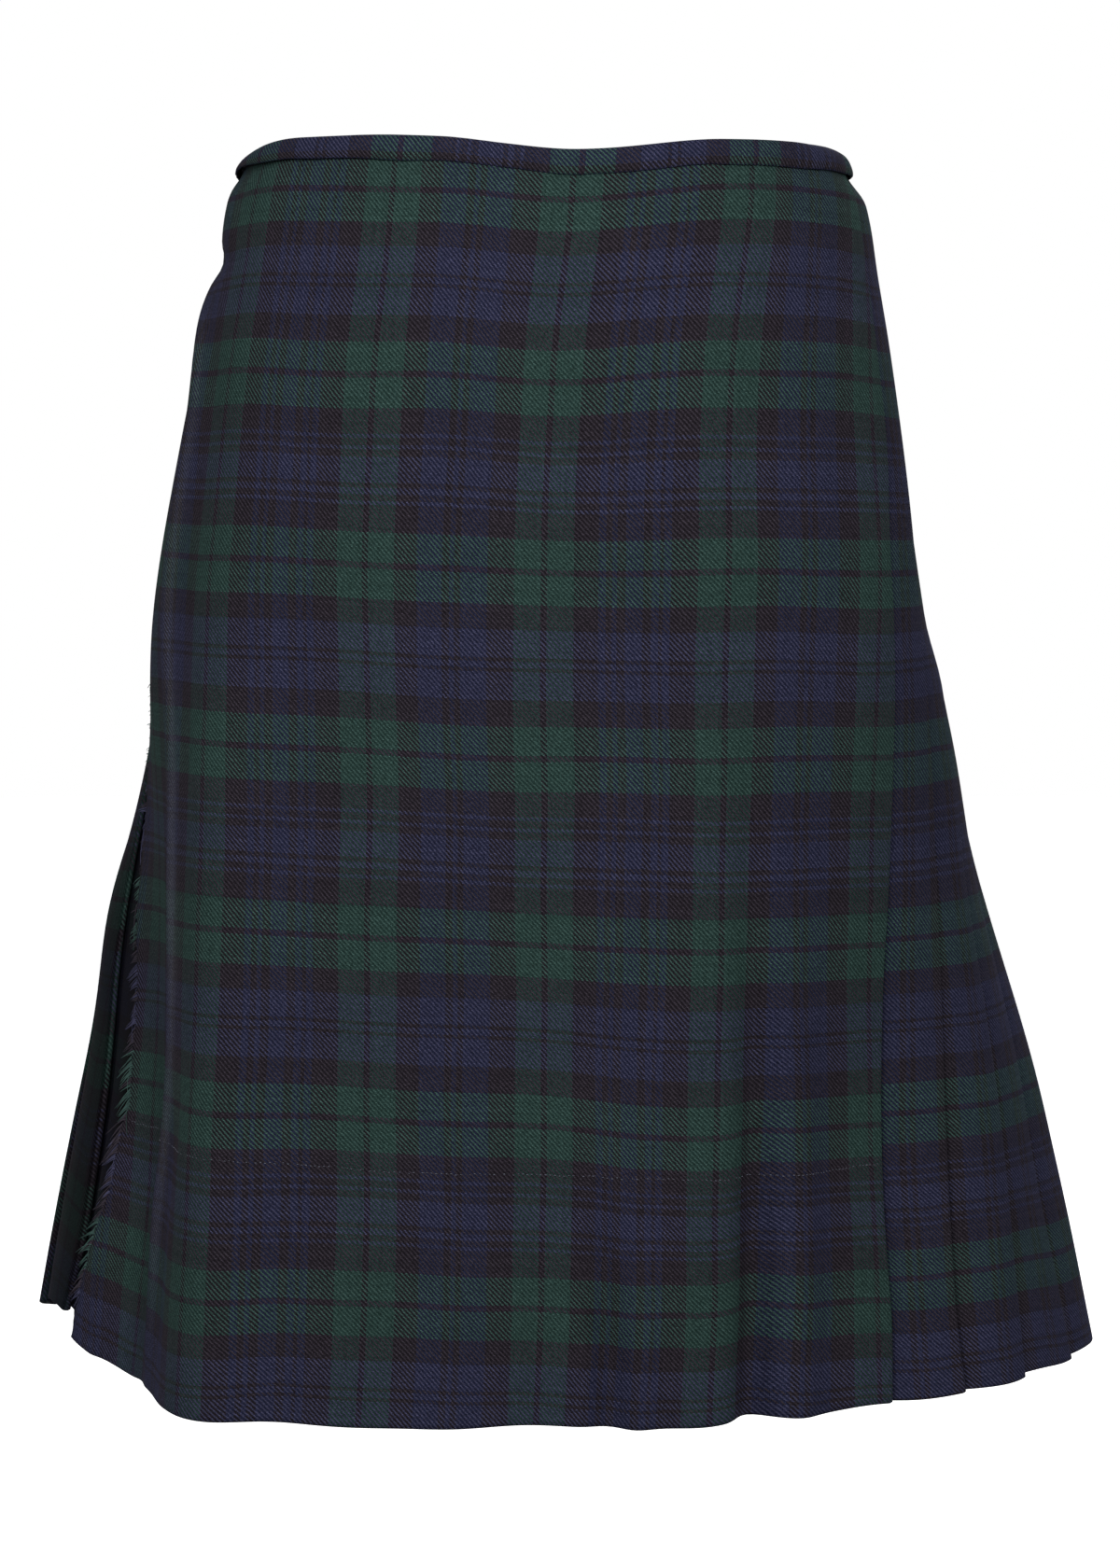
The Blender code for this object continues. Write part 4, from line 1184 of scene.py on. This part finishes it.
# ---------------------------------------------------------------- small parts
class Soup:
    """Collects small meshes that become one object."""

    def __init__(self):
        self.v, self.f, self.uv = [], [], []
        self.count = 0

    def add(self, verts, faces, uvs):
        self.v.append(np.asarray(verts, float))
        self.f += [tuple(int(i) + self.count for i in f) for f in faces]
        self.uv.append(np.asarray(uvs, float))
        self.count += len(verts)

    def tube(self, points, radii, sides=5, uv=None, flat=1.0):
        """A closed tube along points, with its own radius at each."""
        pts = np.asarray(points, float)
        n = len(pts)
        tang = np.gradient(pts, axis=0)
        tang /= np.linalg.norm(tang, axis=1)[:, None]
        up = np.array([0.0, 0.0, 1.0]) if abs(tang[0][2]) < 0.9 else np.array([1.0, 0, 0])
        verts = []
        for p, t, r in zip(pts, tang, radii):
            a = np.cross(t, up)
            a /= np.linalg.norm(a)
            b = np.cross(t, a)
            up = -b
            for k in range(sides):
                w = 2 * math.pi * k / sides
                verts.append(p + a * r * math.cos(w) * flat + b * r * math.sin(w))
        faces = []
        for i in range(n - 1):
            for k in range(sides):
                k2 = (k + 1) % sides
                faces.append((i * sides + k, i * sides + k2, (i + 1) * sides + k2, (i + 1) * sides + k))
        faces.append(tuple(range(sides))[::-1])
        faces.append(tuple((n - 1) * sides + k for k in range(sides)))
        if uv is None:
            uv = np.zeros((n, 2))
        self.add(verts, faces, np.repeat(np.asarray(uv, float), sides, axis=0))

    def ob(self, name, mat, slot=None):
        mesh = bpy.data.meshes.new(name)
        mesh.from_pydata([tuple(p) for p in np.concatenate(self.v)], [], self.f)
        layer = mesh.uv_layers.new(name="thread")
        allv = np.concatenate(self.uv)
        idx = np.empty(len(mesh.loops), np.int32)
        mesh.loops.foreach_get("vertex_index", idx)
        layer.data.foreach_set("uv", allv[idx].astype(np.float32).ravel())
        mesh.polygons.foreach_set("use_smooth", np.ones(len(mesh.polygons), bool))
        mesh.materials.append(mat)
        o = bpy.data.objects.new(name, mesh)
        bpy.context.scene.collection.objects.link(o)
        # all faces outwards
        import bmesh
        bm = bmesh.new()
        bm.from_mesh(mesh)
        bmesh.ops.recalc_face_normals(bm, faces=bm.faces)
        bm.to_mesh(mesh)
        bm.free()
        return o


def apron_point(down, s, out=0.0, lift=0.0):
    """A point on the over apron's outer surface, moved out."""
    s = np.atleast_1d(np.asarray(s, float))
    return place(down, s, apron_out(down, s) + out, lift)[0]


# ---------------------------------------------------------------- fringe
def build_fringe():
    soup = Soup()
    d = FRINGE_TOP
    reach = ((0.016, 0.0016), (0.30, 0.0026), (0.345, 0.0034), (0.39, 0.0062), (0.43, 0.0052),
             (0.47, 0.0068), (0.50, 0.0085), (0.53, 0.0078), (0.56, 0.0092),
             (0.580, 0.0080), (0.592, 0.0040))
    tuft, lean, left = 0.0, 0.0, 0
    while d < 0.5920:
        if left <= 0:
            left = int(rng.integers(3, 9))
            centre = d + left * 0.0006
            tuft = rng.uniform(0.75, 1.25)
            lean = rng.normal(0.0, 0.22)
            outw = rng.normal(0.0, 0.0007)
        left -= 1
        edge = free_edge(d)
        size = float(np.interp(d, [a for a, b in reach], [b for a, b in reach]))
        length = 1.25 * size * tuft * rng.uniform(0.72, 1.22)
        if d < 0.30 and rng.uniform() < 0.35:
            length *= 0.4
        n = 6
        t = np.linspace(0, 1, n)
        slope = 0.55 + 0.75 * float(smooth((d - 0.3) / 0.2)) + lean
        curl = rng.normal(0.0, 0.35)
        s_pts = edge + 0.0009 - t * length * 0.86 / math.hypot(1, slope * 0.6)
        # strands of one tuft close up towards their tips
        pull = (centre - d) * 0.55 * t ** 1.3
        down_pts = d + pull + length * 0.62 * slope * t ** 1.5 + curl * 0.0008 * t ** 2
        wave = rng.normal(0.0, 0.0006) * np.sin(t * 5.0 + rng.uniform(0, 6)) * t
        out_pts = (-0.0005 + outw * t ** 1.4 + wave + rng.normal(0, 0.00025)
                   + 0.20 * length * t ** 1.6)
        pts = []
        rim = apron_out(d, np.array([edge]))
        for a, b, c in zip(s_pts, down_pts, out_pts):
            b = min(b, 0.6125)
            pts.append(place(b, np.array([a]), np.array([float(c)]) + rim)[0])
        base = rng.uniform(0.00026, 0.00042)
        radii = base * (1.0 - 0.72 * t ** 1.6)
        w = float(weft_at(d, np.array([edge]))[0])
        uv = np.stack([t * length + 0.01, np.full(n, w)], -1)
        soup.tube(pts, radii, 4, uv)
        d += rng.uniform(0.0007, 0.0012)
    # a few yarns drawn loose along the edge
    for k in range(26):
        d0 = rng.uniform(0.05, 0.57)
        n = 9
        rim = apron_out(d0, np.array([free_edge(d0)]))
        t = np.linspace(0, 1, n)
        span = rng.uniform(0.008, 0.020)
        a = free_edge(d0) - 0.0002 - rng.uniform(0.0004, 0.0016) * np.sin(t * math.pi)
        b = d0 + span * t
        c = 0.0002 + rng.normal(0, 0.0003) * np.sin(t * math.pi)
        pts = [place(min(y, 0.612), np.array([x]), np.array([float(z)]) + rim)[0]
               for x, y, z in zip(a, b, c)]
        w = float(weft_at(d0, np.array([a[0]]))[0])
        soup.tube(pts, np.full(n, 0.00014), 4, np.stack([t * span, np.full(n, w)], -1))
    o = soup.ob("kilt_fringe", FRINGE, "tartan_wool")
    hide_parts("fringe")
    return o


fringe = build_fringe()


# ---------------------------------------------------------------- fastenings
def resample(points, step):
    """A rounded polyline of (distance, outward) points with an even step."""
    p = np.asarray(points, float)
    for _ in range(3):
        q = [p[0]]
        for a, b in zip(p[:-1], p[1:]):
            q += [a * 0.75 + b * 0.25, a * 0.25 + b * 0.75]
        q.append(p[-1])
        p = np.array(q)
    run = np.concatenate([[0], np.cumsum(np.hypot(*np.diff(p, axis=0).T))])
    t = np.linspace(0, run[-1], max(4, int(run[-1] / step) + 1))
    return np.stack([np.interp(t, run, p[:, 0]), np.interp(t, run, p[:, 1])], -1), t


def place_grid(D, S, O, hinge):
    """Points of a grid whose depths and lengths all differ a little.

    Lengths hold at the strap's middle; hinge(down) says how they move.
    """
    levels = np.linspace(STRAP_TOP - 0.006, STRAP_TOP + STRAP_WIDTH + 0.006, 8)
    mid = STRAP_TOP + STRAP_WIDTH / 2
    lean = [hinge(q) - hinge(mid) for q in levels]
    D = np.broadcast_to(D, S.shape)
    O = np.broadcast_to(O, S.shape)
    out = np.zeros(S.shape + (3,))
    for r in range(S.shape[0]):
        at = (D[r] - levels[0]) / (levels[1] - levels[0])
        k = np.clip(np.floor(at).astype(int), 0, len(levels) - 2)
        for level in np.unique(k):
            pick = k == level
            lo = place(levels[level], S[r][pick] + lean[level], O[r][pick])
            hi = place(levels[level + 1], S[r][pick] + lean[level + 1], O[r][pick])
            out[r][pick] = lo + (hi - lo) * (at[pick] - level)[:, None]
    return out


def ring_tube(soup, pts, radius, sides=10):
    """A closed loop of round wire."""
    pts = np.asarray(pts, float)
    n = len(pts)
    centre = pts.mean(0)
    tang = np.roll(pts, -1, 0) - np.roll(pts, 1, 0)
    tang /= np.linalg.norm(tang, axis=1)[:, None]
    verts = []
    for p, t in zip(pts, tang):
        a = p - centre
        a -= t * a.dot(t)
        a /= np.linalg.norm(a)
        b = np.cross(t, a)
        for k in range(sides):
            w = 2 * math.pi * k / sides
            verts.append(p + radius * (a * math.cos(w) + b * math.sin(w)))
    faces = [(i * sides + k, i * sides + (k + 1) % sides,
              ((i + 1) % n) * sides + (k + 1) % sides, ((i + 1) % n) * sides + k)
             for i in range(n) for k in range(sides)]
    soup.add(verts, faces, np.zeros((len(verts), 2)))


def fastening(side, hinge, sign, ground, first):
    mid = STRAP_TOP + STRAP_WIDTH / 2
    half = STRAP_WIDTH / 2 + 0.0045
    reach = 0.024
    gap = 0.0007
    r = WIRE / 2
    base = ground(0.0) + STRAP_CLEAR
    bar = base + TAB_THICK + gap + r
    bar_outer = ground(-reach) + STRAP_CLEAR + STRAP_THICK + gap + r
    leg = r + gap + TAB_THICK

    def at(down, d, out):
        h = hinge(mid)
        S = np.array([[h + sign * d]])
        return place_grid(np.array([[down]]), S, np.array([[out]]), hinge)[0, 0]

    def strip(name, path, top, width, thick, narrow=None, wave=0.0, rows=11):
        pts, run = resample(path, 0.0011)
        if sign > 0:
            pts = pts[::-1]
        S = hinge(mid) + sign * pts[:, 0]
        S2, O2 = inset(S, pts[:, 1], thick)
        t = np.linspace(-1, 1, rows)
        t = np.sign(t) * (1 - (1 - np.abs(t)) ** 1.6)
        w = np.full(len(S), width / 2)
        if narrow is not None:
            w = w * narrow(pts[:, 0])
        D = top + width / 2 + t[:, None] * w[None, :]
        soft = -0.30 * thick * np.clip((np.abs(t) - 0.86) / 0.14, 0, 1)[:, None] ** 2
        P = place_grid(D, np.broadcast_to(S, D.shape), pts[:, 1][None, :] + soft + 0 * D, hinge)
        Q = place_grid(D, np.broadcast_to(S2, D.shape), O2[None, :] - soft + 0 * D, hinge)
        uv = np.stack(np.broadcast_arrays(S[None, :], D), -1).astype(float)
        o = shell(name, P, Q, uv, uv, LEATHER)
        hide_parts(name.replace("kilt_", ""))
        return o

    # strap, pointed at its tip
    low, top = STRAP_CLEAR + STRAP_THICK, bar + leg + gap + STRAP_THICK
    path = [(STRAP_TIP, top), (0.030, top), (0.024, top), (0.018, top), (0.009, top),
            (-0.003, top), (-0.0070, top - 0.0006),
            (-0.0185, low + ground(-0.0185) + 0.0002)]
    for k in range(7):
        d = -0.0205 - (first - 0.0205) * k / 6
        path.append((d, low + ground(d)))

    def tip(d):
        x = np.clip((d - (STRAP_TIP - 0.013)) / 0.013, 0, 1)
        root = np.clip((-d - (first - 0.004)) / 0.004, 0, 1)
        return np.sqrt(np.clip(1 - 0.97 * x ** 2.2, 0.02, 1)) * (1 - 0.10 * root ** 2)
    strap = strip("kilt_strap_" + side, path, STRAP_TOP, STRAP_WIDTH, STRAP_THICK, tip)

    # tab round the hinge bar
    tab = [(TAB_LENGTH, bar + leg), (TAB_LENGTH / 2, bar + leg), (0.0, bar + leg)]
    for a in range(15, 180, 15):
        tab.append((-leg * math.sin(math.radians(a)), bar + leg * math.cos(math.radians(a))))
    tab += [(0.0, bar - leg), (TAB_LENGTH / 2, bar - leg), (TAB_LENGTH, bar - leg)]
    strip("kilt_buckle_tab_" + side, tab, STRAP_TOP + 0.0015, STRAP_WIDTH - 0.003, TAB_THICK)

    # keeper: a loop over strap and tab
    high = top + gap + 0.0014
    edge = gap + 0.0014
    loop = [(STRAP_TOP - edge, base), (STRAP_TOP - edge, high),
            (STRAP_TOP + STRAP_WIDTH + edge, high), (STRAP_TOP + STRAP_WIDTH + edge, base)]
    pts, run = resample([loop[0], (loop[0][0], (base + high) / 2), loop[1],
                         (mid, high), loop[2], (loop[3][0], (base + high) / 2), loop[3]], 0.0009)
    inner_d, inner_o = inset(pts[:, 0], pts[:, 1], 0.0014)
    t = np.linspace(0, 1, 7)
    ds = np.linspace(0.0180, 0.0240, 7)
    if sign < 0:
        ds = ds[::-1]
    S = np.broadcast_to(hinge(mid) + sign * ds, (len(pts), 7))
    soft = -0.0003 * (np.abs(2 * t - 1) ** 3)[None, :]
    P = place_grid(np.broadcast_to(pts[:, :1], S.shape), S, pts[:, 1:2] + soft, hinge)
    Q = place_grid(np.broadcast_to(inner_d[:, None], S.shape), S, inner_o[:, None] + 0 * soft, hinge)
    uv = np.stack(np.broadcast_arrays(S, pts[:, :1]), -1).astype(float)
    keeper = shell("kilt_keeper_" + side, P, Q, uv, uv, LEATHER)
    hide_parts("keeper_" + side)

    # frame
    corner = 0.0055
    pts = []
    for cd, cz, turn in ((-corner, -half + corner, 0), (-corner, half - corner, 90),
                         (-reach + corner, half - corner, 180),
                         (-reach + corner, -half + corner, 270)):
        for a in np.linspace(0, 90, 9):
            ang = math.radians(turn + a)
            d, dz = cd + corner * math.sin(ang), cz - corner * math.cos(ang)
            out = bar + (bar_outer - bar) * min(1.0, max(0.0, -d / reach))
            pts.append(at(mid + dz, d, out))
    closed = np.array(pts + pts[:1])
    run = np.concatenate([[0], np.cumsum(np.linalg.norm(np.diff(closed, axis=0), axis=1))])
    even = np.linspace(0, run[-1], 97)[:-1]
    pts = np.stack([np.interp(even, run, closed[:, k]) for k in range(3)], -1)
    soup = Soup()
    ring_tube(soup, pts, r, 12)
    o = soup.ob("kilt_buckle_frame_" + side, METAL, "buckle_metal")
    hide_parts("buckle_frame_" + side)

    # prong, looped round the hinge bar
    rp = 0.0008
    rest = bar_outer + r + gap * 0.3 + rp
    soup = Soup()
    line = [(-r - rp, bar + 0.0001), (-0.0055, bar + (rest - bar) * 0.22), (-0.0105, bar + (rest - bar) * 0.48),
            (-0.018, rest - 0.0004), (-reach - 0.0002, rest), (-reach - 0.0018, rest - 0.0003)]
    p2, run = resample(line, 0.0009)
    soup.tube([at(mid, d, o_) for d, o_ in p2],
              rp * (1.0 - 0.35 * np.clip((run / run[-1] - 0.75) / 0.25, 0, 1) ** 2), 10)
    loop_pts = []
    for a in np.linspace(0, 2 * math.pi, 25)[:-1]:
        loop_pts.append(at(mid, (r + rp) * math.cos(a), bar + (r + rp) * math.sin(a)))
    ring_tube(soup, loop_pts, rp * 0.9, 8)
    o = soup.ob("kilt_prong_" + side, METAL, "buckle_metal")
    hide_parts("prong_" + side)

    # seams of the strap and punched holes
    stitch = Soup()

    def dash(d0, d1, q0, q1, out):
        n = 5
        t = np.linspace(0, 1, n)
        pts = [at(q0 + (q1 - q0) * x, d0 + (d1 - d0) * x,
                  out + 0.00022 * math.sin(math.pi * x)) for x in t]
        stitch.tube(pts, 0.00022 * np.array([0.5, 1, 1, 1, 0.5]), 5)
    surface = low + 0.00004
    for q in (STRAP_TOP + 0.0026, STRAP_TOP + STRAP_WIDTH - 0.0026):
        x = first - 0.030
        while x < first - 0.003:
            dash(-x, -x - 0.0022, q, q, surface + ground(-x) + 0.0)
            x += 0.0030
    q = STRAP_TOP + 0.0026
    while q < STRAP_TOP + STRAP_WIDTH - 0.0040:
        dash(-first + 0.0030, -first + 0.0030, q, q + 0.0021, surface + ground(-first + 0.003))
        dash(-first + 0.030, -first + 0.030, q, q + 0.0021, surface + ground(-first + 0.03))
        q += 0.0029
    o = stitch.ob("kilt_strap_stitches_" + side, SEAM_THREAD, "strap_leather")
    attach(o, "root")
    holes = Soup()
    for d in (0.0065, 0.0285, -0.0002):
        ring_pts = [at(mid + 0.0014 * math.sin(a), d + 0.0014 * math.cos(a),
                       top + 0.00002) for a in np.linspace(0, 2 * math.pi, 21)[:-1]]
        ring_tube(holes, ring_pts, 0.00022, 6)
        # painted shade: dark discs fill the punched holes in place of their shaded openings
        c = at(mid, d, top + 0.00003)
        disc = [at(mid + 0.0013 * math.sin(a), d + 0.0013 * math.cos(a), top + 0.00004)
                for a in np.linspace(0, 2 * math.pi, 21)[:-1]]
        under_c = at(mid, d, top - 0.0008)
        verts = [c] + disc + [under_c]
        faces = [(0, k + 1, (k + 1) % 20 + 1) for k in range(20)]
        faces += [(21, (k + 1) % 20 + 1, k + 1) for k in range(20)]
        holes.add(verts, faces, np.zeros((22, 2)))
    o = holes.ob("kilt_strap_holes_" + side, SEAM_THREAD, "strap_leather")
    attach(o, "root")
    return strap


buckle_mid = STRAP_TOP + STRAP_WIDTH / 2
right_end = ring(buckle_mid).along("fringe_edge")


def right_ground(d):
    return float(-tuck_in(buckle_mid, right_end - 0.060 - d) * smooth((0.052 + d) / 0.012))


fastening("right", lambda q: ring(q).along("fringe_edge") - 0.060, -1, right_ground, 0.082)
fastening("left", lambda q: fold_edge(q, 3) + 0.0588, 1, lambda d: 0.0, 0.058)

# ---------------------------------------------------------------- stitches
hem = Soup()
s = -0.292
while s < 0.186:
    d = 0.4905 + 0.0035 * math.sin(s * 9.0 + 0.5) + 0.028 * max(0.0, s - 0.05) + rng.normal(0, 0.00018)
    if rng.uniform() < 0.80:
        a = apron_point(d, s, 0.00006)
        b = apron_point(d + 0.0001, s + rng.uniform(0.0004, 0.0008), 0.00010)
        c = apron_point(d + 0.0002, s + 0.0010, 0.00004)
        hem.tube([a, b, c], np.array([0.00012, 0.00022, 0.00012]) * rng.uniform(0.6, 1.25), 5)
    s += rng.uniform(0.0020, 0.0026)
o = hem.ob("kilt_hem_stitches", HEM_THREAD, "tartan_wool")
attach(o, "root")

seam = Soup()
for j in list(range(0, PLEATS)):
    d = 0.0155 + rng.uniform(0, 0.002)
    while d < FELL_END + rng.uniform(-0.004, 0.004):
        e = edges(d)[j + 1]
        rad = fold_radius(d)
        tuck = float(tuck_in(d, e)) if j else 0.0
        if 0.012 < d < 0.0165 or not (STRAP_TOP - 0.003 < d < STRAP_TOP + STRAP_WIDTH + 0.003):
            pts = []
            for ang, dd in ((50, 0.0), (90, 0.0005), (135, 0.0012)):
                a = math.radians(ang)
                pts.append(place(d + dd, np.array([e - rad + (rad + 0.00005) * math.sin(a)]),
                                 np.array([-tuck - rad + (rad + 0.00005) * math.cos(a)]))[0])
            seam.tube(pts, np.array([0.00010, 0.00014, 0.00010]), 4)
        d += rng.uniform(0.0048, 0.0060)
o = seam.ob("kilt_fell_stitches", SEAM_THREAD, "tartan_wool")
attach(o, "root")

# ---------------------------------------------------------------- riding
for o in list(bpy.context.scene.objects):
    if o.type == "MESH" and o.name.startswith("kilt_") and body_of(o) is None:
        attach(o, "root")

# ---------------------------------------------------------------- an empty step
band_lengths = {}
for j, p in enumerate(pleats, 1):
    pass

# ---------------------------------------------------------------- studio
def plain(name, colour, rough=0.9, glow=0.0):
    m = Nodes(name)
    m.bsdf.inputs["Base Color"].default_value = colour
    m.bsdf.inputs["Roughness"].default_value = rough
    m.bsdf.inputs["Emission Color"].default_value = (1.0, 1.0, 1.0, 1.0)
    m.bsdf.inputs["Emission Strength"].default_value = glow
    return m.mat


mesh = bpy.data.meshes.new("floor")
n = 64
ringv = [(9.0 * math.cos(2 * math.pi * k / n), 9.0 * math.sin(2 * math.pi * k / n), -1.05)
         for k in range(n)]
mesh.from_pydata([(0, 0, -1.05)] + ringv, [], [(0, k + 1, (k + 1) % n + 1) for k in range(n)])
mesh.materials.append(plain("floor", (0.92, 0.92, 0.92, 1), 0.9, 0.95))
floor = bpy.data.objects.new("floor", mesh)
bpy.context.scene.collection.objects.link(floor)
floor.visible_diffuse = False


def softbox(name, at, to, size, power, colour=(1, 1, 1)):
    data = bpy.data.lights.new(name, "AREA")
    data.shape = "RECTANGLE"
    data.size, data.size_y = size
    data.energy = power
    data.color = colour
    o = bpy.data.objects.new(name, data)
    o.location = at
    o.rotation_euler = (Vector(to) - Vector(at)).to_track_quat("-Z", "Y").to_euler()
    bpy.context.scene.collection.objects.link(o)
    return o


softbox("key", (0.05, -2.75, 1.50), (-0.03, 0.0, -0.16), (2.0, 1.4), 68.0)
softbox("fill", (-0.1, -2.9, 0.10), (0.0, 0.0, -0.25), (1.8, 1.2), 11.0)
softbox("side_right", (2.6, -1.2, 0.5), (0.0, 0.0, -0.3), (0.9, 1.5), 13.0)
softbox("side_left", (-2.6, -1.4, 0.4), (-0.1, 0.0, -0.3), (0.9, 1.5), 15.0)
softbox("back", (1.0, 2.7, 1.3), (0.0, 0.0, -0.3), (1.8, 1.3), 46.0)

world = bpy.data.worlds.new("studio")
bpy.context.scene.world = world
world.use_nodes = True
bg = next(n for n in world.node_tree.nodes if n.type == "BACKGROUND")
bg.inputs["Color"].default_value = (1.0, 1.0, 1.0, 1.0)
bg.inputs["Strength"].default_value = 1.0
# the pale surroundings show and mirror, and the softboxes do the lighting
world.cycles_visibility.diffuse = False

cam_data = bpy.data.cameras.new("camera")
cam = bpy.data.objects.new("camera", cam_data)
bpy.context.scene.collection.objects.link(cam)
cam_data.sensor_width = 36.0
cam_data.lens = 4390.0 * 36.0 / 1680.0
cam_data.clip_start, cam_data.clip_end = 0.05, 60.0
cam.location = (0.008, -2.10, -0.15)
cam.rotation_euler = (math.radians(90.0 - 4.5), 0.0, 0.0)
bpy.context.scene.camera = cam
bpy.context.scene.view_settings.view_transform = "Standard"
bpy.context.scene.view_settings.look = "None"
